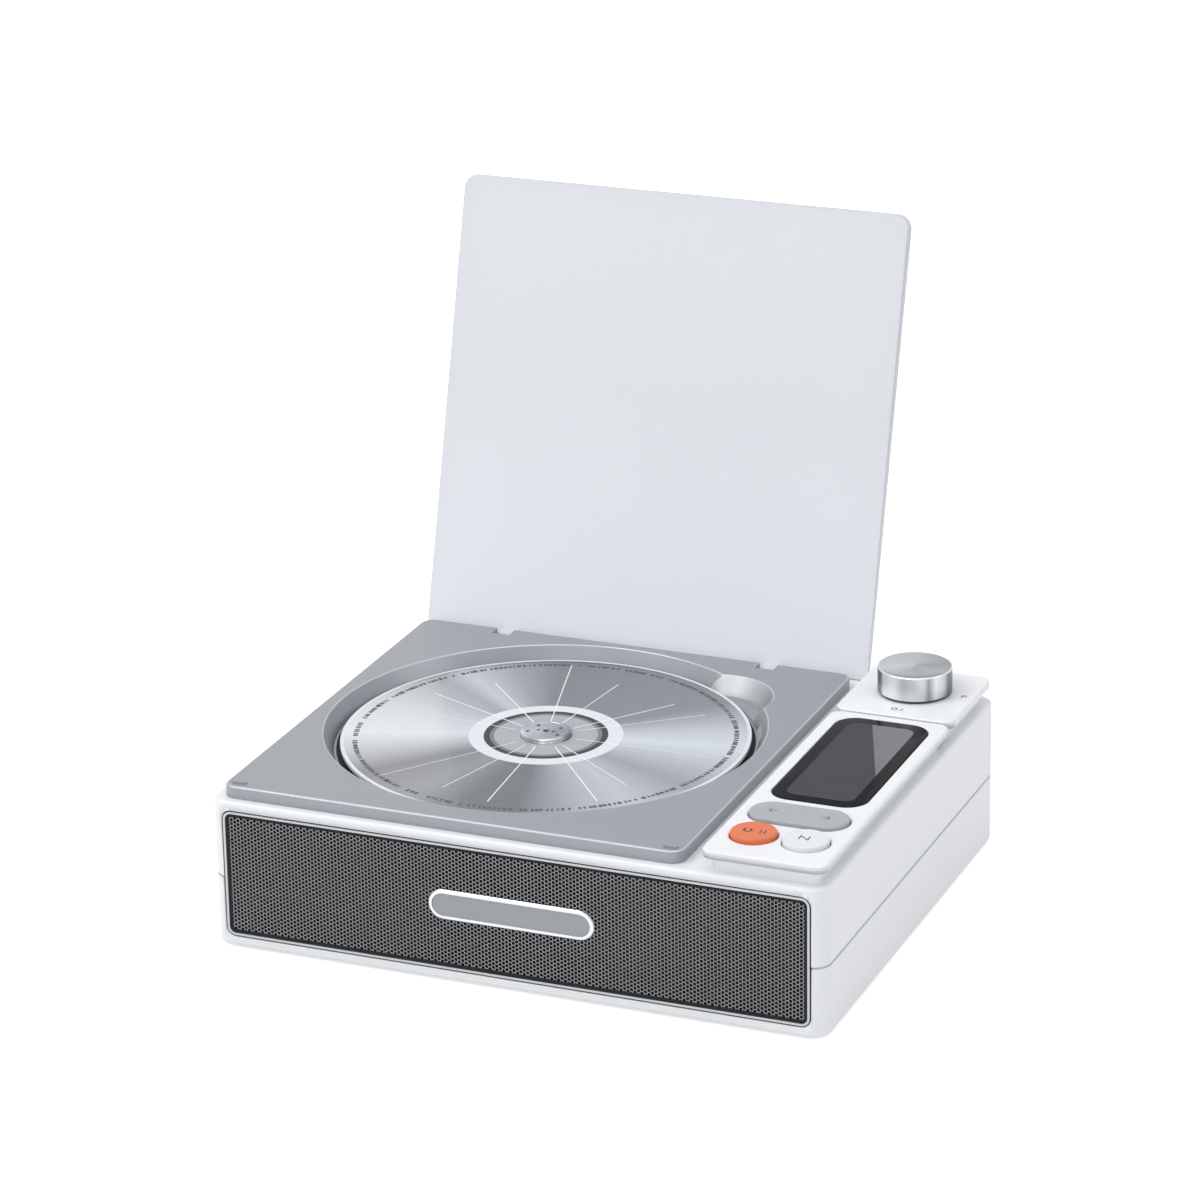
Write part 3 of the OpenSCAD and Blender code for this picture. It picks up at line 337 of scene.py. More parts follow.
def metalWithPaintedFan(name, middle, fan, roughness, metallic=1.0, pitch=0.1 * mm, coat=0.0):
    # turned or metallised surface with painted reflection: the bright and dark wedges that fine rings
    # about an axis fan the light out into are painted into its colour as grey levels by angle, because a
    # plain studio holds few lamps
    material, tree = newMaterial(name)
    centred = addNode(tree, "ShaderNodeMapping", {"in:Location": (-middle[0], -middle[1], 0)},
                      {"Vector": objectPlace(tree)})
    split = addNode(tree, "ShaderNodeSeparateXYZ", links={0: centred.outputs[0]}).outputs
    turn = addNode(tree, "ShaderNodeMapRange", {"in:From Min": -math.pi, "in:From Max": math.pi},
                   {"Value": calculate(tree, "ARCTAN2", split["Y"], split["X"])})
    ramp = addNode(tree, "ShaderNodeValToRGB", links={"Fac": turn.outputs["Result"]})
    fillFan(ramp.color_ramp.elements, fan)
    flat = addNode(tree, "ShaderNodeCombineXYZ", links={"X": split["X"], "Y": split["Y"]})
    away = addNode(tree, "ShaderNodeVectorMath", {"operation": "LENGTH"}, {0: flat.outputs[0]})
    rings = addNode(tree, "ShaderNodeCombineXYZ", links={"X": away.outputs["Value"], "Z": split["Z"]})
    lines = noiseOver(tree, 1 / pitch, 2.0, rings.outputs[0])
    tint = addNode(tree, "ShaderNodeVectorMath", {"operation": "SCALE"},
                   {0: ramp.outputs["Color"], "Scale": spread(tree, lines, 0.95, 1.05)})
    shader = addNode(tree, "ShaderNodeBsdfPrincipled",
                     {"in:Metallic": metallic, "in:Coat Weight": coat, "in:Coat Roughness": 0.03},
                     {"Base Color": tint.outputs[0],
                      "Roughness": spread(tree, lines, roughness - 0.04, roughness + 0.04)})
    return finishMaterial(material, tree, shader.outputs["BSDF"])


def plainGloss(name, code, roughness, coat=0.0, ior=1.5):
    # polished moulding or printed glass: smooth, with faint handling marks
    material, tree = newMaterial(name)
    marks = noiseOver(tree, 60.0, 5.0)
    shader = addNode(tree, "ShaderNodeBsdfPrincipled",
                     {"in:Base Color": hexColour(code), "in:Coat Weight": coat, "in:IOR": ior},
                     {"Roughness": spread(tree, marks, roughness, roughness + 0.06)})
    return finishMaterial(material, tree, shader.outputs["BSDF"])


caseAbs = mouldedPlastic("mouldedAbsWhite", "#EAECEF", 0.42)
# a grey for the lower shell's seam bevel: painted shade in the seam
seamShadeGrey = mouldedPlastic("paintedSeamShade", "#B9BDC3", 0.5)
# a darker grey for the lid's sides and rounded edges: painted shade
lidEdgeShade = frostedSheet("frostedLidPaintedEdgeShade", "#D2D4DB", 0.35, 0.1, lidPaintedLight)
lidAbs = frostedSheet("frostedLidSheet", "#E9ECF0", 0.4, 0.22, lidPaintedLight)
deckPaint = metallicPaint("metallicGreyPaint", "#999DA3", 0.36, 0.35)
# a lighter grey for the deck's edge bevels: painted highlight
deckEdgeHighlight = metallicPaint("paintedEdgeHighlight", "#BFC3C7", 0.32, 0.5)
orangeAbs = mouldedPlastic("orangeAbs", "#DC7040", 0.4)
buttonAbs = mouldedPlastic("buttonAbsWhite", "#DFE1E4", 0.36)
rockerAbs = mouldedPlastic("rockerAbsGrey", "#A6AAAE", 0.4)
# dark plastic; on the knob's underside and neck and on the hub's holes it is painted shade
darkAbsAndPaintedShade = mouldedPlastic("darkAbsAndPaintedShade", "#232426", 0.5)
feetRubber = mouldedPlastic("mouldedRubber", "#55585C", 0.75, grain=0.6)
bumperRubber = mouldedPlastic("bumperRubber", "#9A9DA2", 0.7, grain=0.6)
hubAbs = mouldedPlastic("hubAbs", "#C4C8CD", 0.3)
frameMetal = brushedMetal("anodisedFrame", "#B3B6BA", 0.28, (1, 1, 8))
badgeMetal = brushedMetal("brushedBadge", "#DADCDF", 0.3, (1, 1, 8))
badgeInset = mouldedPlastic("badgeInset", "#9A9DA3", 0.4)
sheetMetal = brushedMetal("perforatedSteelSheet", "#C4C6C9", 0.3, anisotropy=0.0)
plainSteel = brushedMetal("platedSteel", "#9EA3A8", 0.3, anisotropy=0.2)
discBright = plainGloss("innerMirrorBand", "#DDE0E5", 0.16, coat=0.3)
discClear = plainGloss("clearClampArea", "#A6AAAF", 0.2, ior=1.4)
discDark = plainGloss("stackingRing", "#3B3D40", 0.2, ior=1.2)
discMid = plainGloss("stackingRingInner", "#7A7D82", 0.2, ior=1.2)
# black for the well's shadow sheet: painted shadow
wellShadowBlack = mouldedPlastic("paintedWellShadow", "#17181A", 0.8)
glassDark = plainGloss("smokedWindow", "#1B1C1E", 0.05, ior=1.12)
glassScreen = plainGloss("screenBehindWindow", "#444549", 0.08, ior=1.12)
# a lighter grey for a patch on the screen: painted reflection
glassPaintedSheen = plainGloss("paintedScreenSheen", "#787A7E", 0.08, ior=1.12)
# black cloth behind the grille; on the hole walls and in the gaps round the rim it is painted shade
clothAndPaintedShade = mouldedPlastic("blackClothAndPaintedShade", "#0B0C0D", 0.9, grain=0.4)
boardMask = plainGloss("solderMask", "#1F5B3A", 0.3)
cellSleeve = plainGloss("shrinkSleeve", "#3F73A6", 0.3)
rayInk = mouldedPlastic("palePrint", "#F2F4F6", 0.4)
dashInk = mouldedPlastic("greyPrint", "#4E5155", 0.5)
printInk = mouldedPlastic("printedMark", "#4C4D51", 0.6)

# turned surfaces: grey levels by angle, counter-clockwise from +X about each axis, painted into their
# colour as reflection, highlight and shade
knobAt, hubAt, discAt = (nodeMiddle(n) for n in ("volume_knob", "spindle_hub", "disc"))
wellRadius = 64.75 * mm
scoopReach = 54 * mm  # the finger scoop's middle, on a diagonal from the disc's axis
scoopAt = (discAt.x + scoopReach * math.sqrt(0.5), discAt.y + scoopReach * math.sqrt(0.5))
# grey levels on the knob by angle: painted reflection on its side and top, painted highlight on its
# rounded edge
knobSideReflectionLevels = ((200, 104), (222, 130), (232, 240), (250, 238), (268, 216), (290, 208), (302, 196),
           (310, 140), (322, 206), (338, 182), (350, 112), (20, 106), (112, 190))
knobTopReflectionLevels = ((202, 200), (250, 180), (292, 164), (340, 172), (22, 154), (70, 174), (112, 186))
knobEdgeHighlightLevels = ((202, 236), (22, 214))
# grey levels on the hub by angle: painted reflection on its top, painted highlight on its edge
hubReflectionLevels = ((200, 206), (292, 176), (20, 160), (112, 188))
hubEdgeHighlightLevels = ((215, 240), (255, 170), (300, 236), (350, 140))
# grey levels on the well's wall and the scoop's wall by angle: painted shade and highlight
wallShadeLevels = ((20, 136), (62, 140), (68, 206), (80, 196), (102, 148), (124, 216), (140, 206),
           (160, 168), (180, 138), (208, 118), (300, 160))
scoopShadeLevels = ((25, 136), (60, 172), (85, 206), (108, 200), (128, 136), (150, 112), (200, 130),
            (292, 150))
# grey levels on the disc by angle: painted reflection, the bright and dark wedges of a mirrored disc
discReflectionLevels = ((10, 236), (24, 214), (32, 190), (45, 142), (75, 134), (108, 126), (122, 164),
           (138, 212), (147, 172), (170, 210), (198, 230), (212, 196), (228, 130), (250, 152),
           (268, 112), (284, 112), (303, 186), (318, 210), (338, 166))
# each of these takes one table of grey levels into its colour: painted reflection, highlight and shade
knobSidePaintedReflection = metalWithPaintedFan("turnedAluminiumWithPaintedReflection", knobAt, knobSideReflectionLevels, 0.36)
knobTopPaintedReflection = metalWithPaintedFan("facedAluminiumWithPaintedReflection", knobAt, knobTopReflectionLevels, 0.3)
knobEdgePaintedHighlight = metalWithPaintedFan("polishedKnobEdgeWithPaintedHighlight", knobAt, knobEdgeHighlightLevels, 0.14)
hubPaintedReflection = metalWithPaintedFan("turnedHubWithPaintedReflection", hubAt, hubReflectionLevels, 0.28)
hubEdgePaintedHighlight = metalWithPaintedFan("polishedHubEdgeWithPaintedHighlight", hubAt, hubEdgeHighlightLevels, 0.12)
wallPaintedShade = metalWithPaintedFan("wellWallWithPaintedShade", discAt, wallShadeLevels, 0.36, metallic=0.3)
scoopPaintedShade = metalWithPaintedFan("scoopWallWithPaintedShade", scoopAt, scoopShadeLevels, 0.45, metallic=0.1)
discPaintedReflection = metalWithPaintedFan("metallisedDiscWithPaintedReflection", discAt, discReflectionLevels, 0.24, pitch=0.3 * mm, coat=0.5)
print("stage: materials made")

nodeFinish = {"deck_bumpers": bumperRubber}  # nodes whose finish differs from their slot's usual one
slotMaterials = {
    "case_white": caseAbs, "lid_white": lidAbs, "deck_grey": deckPaint, "silver_metal": frameMetal,
    "disc_metal": discPaintedReflection, "hub_plastic": hubAbs, "orange_plastic": orangeAbs,
    "rocker_grey": rockerAbs, "button_white": buttonAbs, "dark_glass": glassDark,
    "dark_plastic": darkAbsAndPaintedShade, "rubber": feetRubber, "steel": plainSteel, "board": boardMask,
    "cell_wrap": cellSleeve,
}
for entry in frame["record"]["subparts"]:
    cadNode = frame["nodes"][entry["node"]]
    cadNode.data.materials.clear()
    cadNode.data.materials.append(nodeFinish.get(entry["node"], slotMaterials[entry["material_slot"]]))


# repeats: Geometry Nodes groups that put copies of one small mesh in a pattern

def newPattern(name, inputs):
    tree = bpy.data.node_groups.new(name, "GeometryNodeTree")
    face = tree.interface
    face.new_socket("Geometry", in_out="OUTPUT", socket_type="NodeSocketGeometry")
    face.new_socket("Cell", in_out="INPUT", socket_type="NodeSocketObject")
    for label, kind in inputs:
        face.new_socket(label, in_out="INPUT", socket_type="NodeSocket" + kind)
    return tree, addNode(tree, "NodeGroupInput").outputs


def cellCopies(tree, given, links):
    info = addNode(tree, "GeometryNodeObjectInfo", links={"Object": given["Cell"]})
    copies = addNode(tree, "GeometryNodeInstanceOnPoints",
                     links={**links, "Instance": info.outputs["Geometry"]})
    real = addNode(tree, "GeometryNodeRealizeInstances", links={"Geometry": copies.outputs[0]})
    return real.outputs[0]


def runPattern(piece, tree, values):
    modifier = piece.modifiers.new("pattern", "NODES")
    modifier.node_group = tree
    for item in tree.interface.items_tree:
        if item.in_out == "INPUT" and item.name in values:
            modifier[item.identifier] = values[item.name]
    return bakeModifiers(piece)


# perforated sheet, its cloth, its frame and the blank badge

sheetSizes = {"pitch": 1.2 * mm, "hole": 0.55 * mm, "thick": 0.4 * mm, "sides": 12,
              "weld": 0.02 * mm, "wall": 0.5}
rimSizes = {
    "rim": 1.0 * mm, "radius": 2.8 * mm, "steps": 10, "recess": 0.5 * mm,
    "lip": 0.25 * mm, "line": 0.16 * mm, "chamfer": 0.3, "deep": 1.8 * mm,
    "innerShadow": {"width": 0.24 * mm, "tops": (0.12 * mm, 0.2 * mm), "deep": 1.7 * mm},
    "outerShadow": {"width": 0.9 * mm, "tops": (0.35 * mm, 0.42 * mm), "deep": 1.2 * mm},
    "cloth": {"inset": 1.1, "depths": (1.6 * mm, 1.15 * mm), "steps": 6},
}


def faceFront(y):  # turns a flat shape in XY to face -Y at depth y
    return Matrix(((1, 0, 0, 0), (0, 0, -1, y), (0, 1, 0, 0), (0, 0, 0, 1)))


def sheetCell(sizes):
    # one six sided cell with a round hole, its wall going back from the face
    inner, outer = [], []
    apothem = sizes["pitch"] / 2
    for i in range(sizes["sides"]):
        angle = 2 * math.pi * i / sizes["sides"]
        reach = apothem / math.cos((angle + math.pi / 2) % (math.pi / 3) - math.pi / 6)
        outer.append(Vector((reach * math.cos(angle), reach * math.sin(angle), 0)))
        inner.append(Vector((sizes["hole"] * math.cos(angle), sizes["hole"] * math.sin(angle), 0)))
    back = [p - Vector((0, 0, sizes["thick"])) for p in inner]
    bm = bmesh.new()
    stackLoops(bm, (outer, inner, back), closeEnds=False)
    mesh = bpy.data.meshes.new("holeCell")
    bm.to_mesh(mesh)
    bm.free()
    cell = bpy.data.objects.new("holeCell", mesh)
    bpy.context.scene.collection.objects.link(cell)
    return cell


def sheetPattern(sizes):
    # grid of points whose odd columns are half a pitch off, with a cell on each
    tree, given = newPattern("perforationPattern", (
        ("Pitch", "Float"), ("Columns", "Int"), ("Rows", "Int"), ("Shift", "Float")))
    pitch, columns, rows = given["Pitch"], given["Columns"], given["Rows"]
    stepX = calculate(tree, "MULTIPLY", pitch, math.sqrt(3) / 2)
    grid = addNode(tree, "GeometryNodeMeshGrid", links={
        "Size X": calculate(tree, "MULTIPLY", calculate(tree, "SUBTRACT", columns, 1), stepX),
        "Size Y": calculate(tree, "MULTIPLY", calculate(tree, "SUBTRACT", rows, 1), pitch),
        "Vertices X": columns, "Vertices Y": rows})
    index = addNode(tree, "GeometryNodeInputIndex").outputs[0]
    column = calculate(tree, "FLOOR", calculate(tree, "DIVIDE", index, rows))
    odd = calculate(tree, "MODULO", column, 2)
    drop = calculate(tree, "MULTIPLY", odd, calculate(tree, "MULTIPLY", pitch, 0.5))
    offset = addNode(tree, "ShaderNodeCombineXYZ", links={"X": given["Shift"], "Y": drop})
    moved = addNode(tree, "GeometryNodeSetPosition",
                    links={"Geometry": grid.outputs["Mesh"], "Offset": offset.outputs[0]})
    welded = addNode(tree, "GeometryNodeMergeByDistance", {"in:Distance": sizes["weld"]},
                     {"Geometry": cellCopies(tree, given, {"Points": moved.outputs[0]})})
    dressed = addNode(tree, "GeometryNodeSetMaterial", {"in:Material": sheetMetal},
                      {"Geometry": welded.outputs[0]})
    # the hole walls take the black cloth: painted shade inside the holes
    facing = addNode(tree, "ShaderNodeSeparateXYZ",
                     links={0: addNode(tree, "GeometryNodeInputNormal").outputs[0]})
    steep = calculate(tree, "LESS_THAN", facing.outputs["Z"], sizes["wall"])
    paintedShadeWalls = addNode(tree, "GeometryNodeSetMaterial", {"in:Material": clothAndPaintedShade},
                        {"Geometry": dressed.outputs[0], "Selection": steep})
    addNode(tree, "NodeGroupOutput", links={0: paintedShadeWalls.outputs[0]})
    return tree


def makeSheet(sizes, rims):
    low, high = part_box("grille_frame")
    middle = (low + high) / 2
    cell = sheetCell(sizes)
    stepX = sizes["pitch"] * math.sqrt(3) / 2
    half = int((high.x - low.x - 2 * rims["rim"]) / stepX / 2)
    rows = int((high.z - low.z - 2 * rims["rim"]) / sizes["pitch"])
    tree = sheetPattern(sizes)
    for side, name in ((-1, "perforatedSheetLeft"), (1, "perforatedSheetRight")):
        piece = makePiece(name, bmesh.new(), [])
        runPattern(piece, tree, {"Cell": cell, "Pitch": sizes["pitch"], "Columns": half,
                                 "Rows": rows, "Shift": side * half * stepX / 2})
        piece.data.transform(faceFront(low.y + rims["recess"]))
        piece.data.transform(Matrix.Translation((middle.x, 0, middle.z - sizes["pitch"] / 4)))
        place(piece, "case", "silver_metal", "speaker_grille")
    bpy.data.objects.remove(cell)


def makeGrilleRim(sizes):
    low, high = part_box("grille_frame")
    middle = ((low.x + high.x) / 2, (low.z + high.z) / 2)
    size = (high.x - low.x, high.z - low.z)

    def ringPiece(name, profile, material, slot, *nodes):
        bm = bmesh.new()
        stackLoops(bm, insetLoops(size, sizes["radius"], middle, profile, sizes["steps"]), ring=True)
        place(makePiece(name, bm, [material], faceFront(low.y)), "case", slot, *nodes)

    def shadowBand(inner, band):  # a flat black strip from an inset outwards, nearly level: painted shadow in a gap beside the rim
        outer = inner + band["width"]
        tops = band["tops"]
        return [(inner, -band["deep"]), (inner, -tops[0]), (outer, -tops[1]), (outer, -band["deep"])]

    rim, lip, line, deep = sizes["rim"], sizes["lip"], sizes["line"], sizes["deep"]
    cut = lip * sizes["chamfer"]
    ringPiece("grilleRim", [(line, -deep), (line, -lip), (line + cut, -cut), (line + lip, 0),
                            (rim - lip, 0), (rim - cut, -cut), (rim, -lip), (rim, -deep)],
              frameMetal, "silver_metal", "grille_frame")
    ringPiece("grilleSeal", shadowBand(0, sizes["innerShadow"]), clothAndPaintedShade, "dark_plastic")
    ringPiece("grilleGasket", shadowBand(rim, sizes["outerShadow"]), clothAndPaintedShade, "dark_plastic")
    cloth = sizes["cloth"]
    inset = cloth["inset"] * rim
    bm = bmesh.new()
    stackLoops(bm, [roundedLoop(size[0] - 2 * inset, size[1] - 2 * inset, sizes["radius"] - rim,
                                middle, -depth, cloth["steps"]) for depth in cloth["depths"]])
    place(makePiece("speakerCloth", bm, [clothAndPaintedShade], faceFront(low.y)), "case", "dark_plastic")


makeSheet(sheetSizes, rimSizes)
makeGrilleRim(rimSizes)

badgeSizes = {"rim": 1.1 * mm, "edge": 0.3 * mm, "slope": 0.1 * mm, "sink": 0.25 * mm,
              "proud": 0.7 * mm, "steps": 16}


def makeBadge(sizes):
    low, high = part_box("grille_badge")
    size = (high.x - low.x, high.z - low.z)
    rim = sizes["rim"]
    profile = [(0, -sizes["proud"]), (0, -sizes["edge"]), (sizes["edge"], 0), (rim, 0),
               (rim + sizes["slope"], -sizes["sink"])]
    bm = bmesh.new()
    middle = ((low.x + high.x) / 2, (low.z + high.z) / 2)
    stackLoops(bm, insetLoops(size, size[1] / 2, middle, profile, sizes["steps"]), slots=[0, 0, 0, 1])
    piece = makePiece("blankBadge", bm, [badgeMetal, badgeInset], faceFront(low.y))
    place(piece, "case", "silver_metal", "grille_badge")


makeBadge(badgeSizes)
print("stage: grille made")


# shells and plates: merged copies of the CAD nodes with softened edges

copySizes = {"weld": 0.001 * mm, "flat": 0.3, "corner": 28}  # angles in degrees


def softCopy(node, name, width, materials, chosen, segments=3, edgeSlot=-1):
    bm = bmesh.new()
    bm.from_mesh(frame["nodes"][node].data)
    bmesh.ops.remove_doubles(bm, verts=bm.verts, dist=copySizes["weld"])
    bmesh.ops.dissolve_limit(bm, angle_limit=math.radians(copySizes["flat"]),
                             verts=bm.verts, edges=bm.edges)
    weights = bm.edges.layers.float.new("bevel_weight_edge")
    corner = math.radians(copySizes["corner"])
    for edge in bm.edges:
        if len(edge.link_faces) == 2 and edge.calc_face_angle(0) > corner:
            if chosen(*[v.co for v in edge.verts]):
                edge[weights] = 1.0
    for face in bm.faces:
        face.material_index = 0
    piece = makePiece(name, bm, materials)
    modifier = piece.modifiers.new("edges", "BEVEL")
    modifier.width = width
    modifier.segments = segments
    modifier.limit_method = "WEIGHT"
    modifier.use_clamp_overlap = False
    modifier.miter_outer = "MITER_ARC"
    modifier.material = edgeSlot
    return evenNormals(bakeModifiers(piece))


def bothAbove(level):  # picks the edges that lie higher than a level
    return lambda a, b: min(a.z, b.z) > level


caseSizes = {"seam": 0.4 * mm, "corner": 5.6 * mm, "side": 0.1 * mm, "arc": 0.5 * mm}


def onOutline(p, low, high, sizes):
    # true on the outer outline, rounded corners included
    dx = min(p.x - low.x, high.x - p.x)
    dy = min(p.y - low.y, high.y - p.y)
    reach = sizes["corner"]
    if min(dx, dy) < sizes["side"]:
        return True
    if dx > reach or dy > reach:
        return False
    return abs(math.hypot(reach - dx, reach - dy) - reach) < sizes["arc"]


def makeCase(sizes):
    low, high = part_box("upper_case")

    def onSeam(*ends):
        return all(abs(p.z - low.z) < flush and onOutline(p, low, high, sizes) for p in ends)

    # the lower shell's seam bevel takes the grey: painted shade in the seam
    for node, name, edgeSlot in (("upper_case", "upperShell", -1), ("lower_case", "lowerShell", 1)):
        shell = softCopy(node, name, sizes["seam"], [caseAbs, seamShadeGrey], onSeam, 1, edgeSlot)
        place(shell, "case", "case_white", node)


makeCase(caseSizes)

deckSizes = {"edge": 0.28 * mm, "below": 0.05 * mm, "upright": 0.8, "wallDepth": 6 * mm,
             "wallSlack": 0.2 * mm, "scoop": 18 * mm}


def makeDeck(sizes):
    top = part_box("deck_plate")[1].z
    # the top edges' bevels take the lighter grey: painted highlight
    deck = softCopy("deck_plate", "deckPanel", sizes["edge"],
                    [deckPaint, deckEdgeHighlight, wallPaintedShade, scoopPaintedShade],
                    bothAbove(top - sizes["below"]), edgeSlot=1)
    for face in deck.data.polygons:  # the well's and the scoop's upright walls, which take grey levels by angle: painted shade and highlight
        upright = abs(face.normal.z) < sizes["upright"]
        if face.material_index == 0 and upright and face.center.z > top - sizes["wallDepth"]:
            spots = [deck.data.vertices[i].co for i in face.vertices]
            misses = [abs(math.hypot(p.x - discAt.x, p.y - discAt.y) - wellRadius) for p in spots]
            if max(misses) < sizes["wallSlack"]:
                face.material_index = 2
            elif math.dist(face.center[:2], scoopAt) < sizes["scoop"]:
                face.material_index = 3
    place(deck, "case", "deck_grey", "deck_plate")


makeDeck(deckSizes)

# the shadow sheet's radii and heights over the well's floor are in millimetres
wellShadowSizes = {"wellDepth": 5.5, "ring": ((57.5, 0.03), (60.9, 0.03), (61.1, 0.3)), "steps": 192,
              "corner": ((64.2, 0.03), (64.6, 0.12), (64.68, 1.15)),
              "start": 62, "sweep": 326, "parts": 160}


def makeWellShadow(sizes):
    # a black sheet under the disc's rim and in the corner below the wall: painted shadow in the gaps
    # there
    middle = discAt
    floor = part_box("deck_plate")[1].z / mm - sizes["wellDepth"]
    bm = bmesh.new()
    profile = [(r, floor + z) for r, z in sizes["ring"]]
    stackLoops(bm, turnedLoops(profile, middle, sizes["steps"]), closeEnds=False)
    parts = sizes["parts"]
    turns = [math.radians(sizes["start"] + sizes["sweep"] * i / parts) for i in range(parts + 1)]
    rows = []
    for r, z in sizes["corner"]:  # left open where the finger scoop is
        spots = [(middle.x + r * mm * math.cos(t), middle.y + r * mm * math.sin(t)) for t in turns]
        rows.append([bm.verts.new((x, y, (floor + z) * mm)) for x, y in spots])
    for low, high in zip(rows, rows[1:]):
        for i in range(parts):
            bm.faces.new((low[i], low[i + 1], high[i + 1], high[i]))
    place(makePiece("wellLiner", bm, [wellShadowBlack]), "case", "dark_plastic")


makeWellShadow(wellShadowSizes)

plateSizes = {"edge": 0.5 * mm, "below": 0.05 * mm}


def makeControlPlates(sizes):
    for node, name in (("control_plate", "controlPanel"), ("knob_plate", "knobPanel")):
        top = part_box(node)[1].z
        piece = softCopy(node, name, sizes["edge"], [caseAbs], bothAbove(top - sizes["below"]))
        place(piece, "case", "case_white", node)


makeControlPlates(plateSizes)

lidSizes = {"edge": 0.55 * mm, "segments": 4, "hinge": 1 * mm}


def makeLid(sizes):
    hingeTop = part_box("deck_plate")[1].z + sizes["hinge"]
    lid = softCopy("lid_panel", "lidSheet", sizes["edge"], [lidAbs, lidEdgeShade],
                   lambda a, b: max(a.z, b.z) > hingeTop, sizes["segments"], edgeSlot=1)
    for face in lid.data.polygons:  # the sheet's thin sides take the darker grey of its rounded edges: painted shade
        if face.area < broadFace:
            face.material_index = 1
    place(lid, "lid", "lid_white", "lid_panel")


makeLid(lidSizes)
print("stage: shells and plates made")


# rocker and the two round buttons

buttonSizes = {"edge": 0.45 * mm, "below": 0.9 * mm}


def makeButtons(sizes):
    for node, name, body, slot, material in (
            ("track_rocker", "trackRocker", "rocker", "rocker_grey", rockerAbs),
            ("power_button", "powerCap", "power", "orange_plastic", orangeAbs),
            ("mode_button", "modeCap", "mode", "button_white", buttonAbs)):
        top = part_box(node)[1].z
        piece = softCopy(node, name, sizes["edge"], [material], bothAbove(top - sizes["below"]))
        place(piece, body, slot, node)


makeButtons(buttonSizes)


# generic marks printed on the controls, as line drawings in millimetres about a middle

def arrowLines(sizes):
    # two arrows that point away from each other
    at, half, barb = sizes["at"], sizes["length"] / 2, sizes["barb"]
    lines = []
    for side in (-1, 1):
        tip = side * (at + half)
        lines.append([(side * (at - half), 0), (tip, 0)])
        lines.append([(side * (at + barb[0]), barb[1]), (tip, 0), (side * (at + barb[0]), -barb[1])])
    return lines


def powerLines(sizes):
    # an open ring and two bars
    turns = [math.radians(a) for a in range(*sizes["turns"])]
    ring = [(sizes["at"] + sizes["ring"] * math.cos(t), sizes["ring"] * math.sin(t)) for t in turns]
    return [ring] + [[(x, -sizes["bar"]), (x, sizes["bar"])] for x in sizes["bars"]]


arrowSizes = {"at": 7.6, "length": 2.6, "barb": (0.26, 1.1)}
powerSizes = {"at": -2.2, "ring": 1.1, "turns": (-240, 61, 25), "bars": (1.6, 2.8), "bar": 1.0}
zigzag = [[(-1.3, -1.1), (-1.3, 1.1), (1.3, -1.1), (1.3, 1.1)]]
squareHook = [[(-1.5, -0.7), (-0.2, -0.7), (-0.2, 0.7), (-1.5, 0.7), (-1.5, -0.7)],
              [(0.5, -0.6), (1.6, -0.6), (1.6, 0.5)]]
cornerDash = [[(-0.9, -0.8), (-0.9, 0.8), (0.6, 0.8)], [(-0.9, 0), (0.3, 0)]]
knobMarkAt = Vector((73.9, 39.3)) * mm
sideMarkAt = Vector((89.5, 55.0)) * mm
strokes = {"rocker": 0.26 * mm, "caps": 0.4 * mm, "plates": 0.32 * mm}


def strokeMark(name, node, middle, lines, width, body, slot):
    # flat strokes just over a node's top, each line a list of points
    bm = bmesh.new()
    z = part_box(node)[1].z + flush
    for line in lines:
        points = [Vector((middle.x + x * mm, middle.y + y * mm, z)) for x, y in line]
        for a, b in zip(points, points[1:]):
            along = (b - a).normalized() * width / 2
            side = Vector((-along.y, along.x, 0))
            a, b = a - along, b + along
            addFace(bm, (a - side, b - side, b + side, a + side))
    piece = makePiece(name, bm, [printInk])
    for face in piece.data.polygons:
        if face.normal.z < 0:
            face.flip()
    place(piece, body, slot)


strokeMark("rockerMarks", "track_rocker", nodeMiddle("track_rocker"), arrowLines(arrowSizes),
           strokes["rocker"], "rocker", "rocker_grey")
strokeMark("powerMarks", "power_button", nodeMiddle("power_button"), powerLines(powerSizes),
           strokes["caps"], "power", "orange_plastic")
strokeMark("modeMark", "mode_button", nodeMiddle("mode_button"), zigzag,
           strokes["caps"], "mode", "button_white")


# volume knob turned from bar

# in millimetres; the face's ring is a share of the radius
knobSizes = {"under": 3.0, "lift": 0.05, "neck": 0.35, "foot": 0.45, "rise": 0.15, "edge": 0.35,
             "rounds": 4, "lip": (0.25, 0.02), "dish": (0.4, 0.12), "face": 0.14, "ring": 0.5,
             "centre": 0.2, "steps": 128}


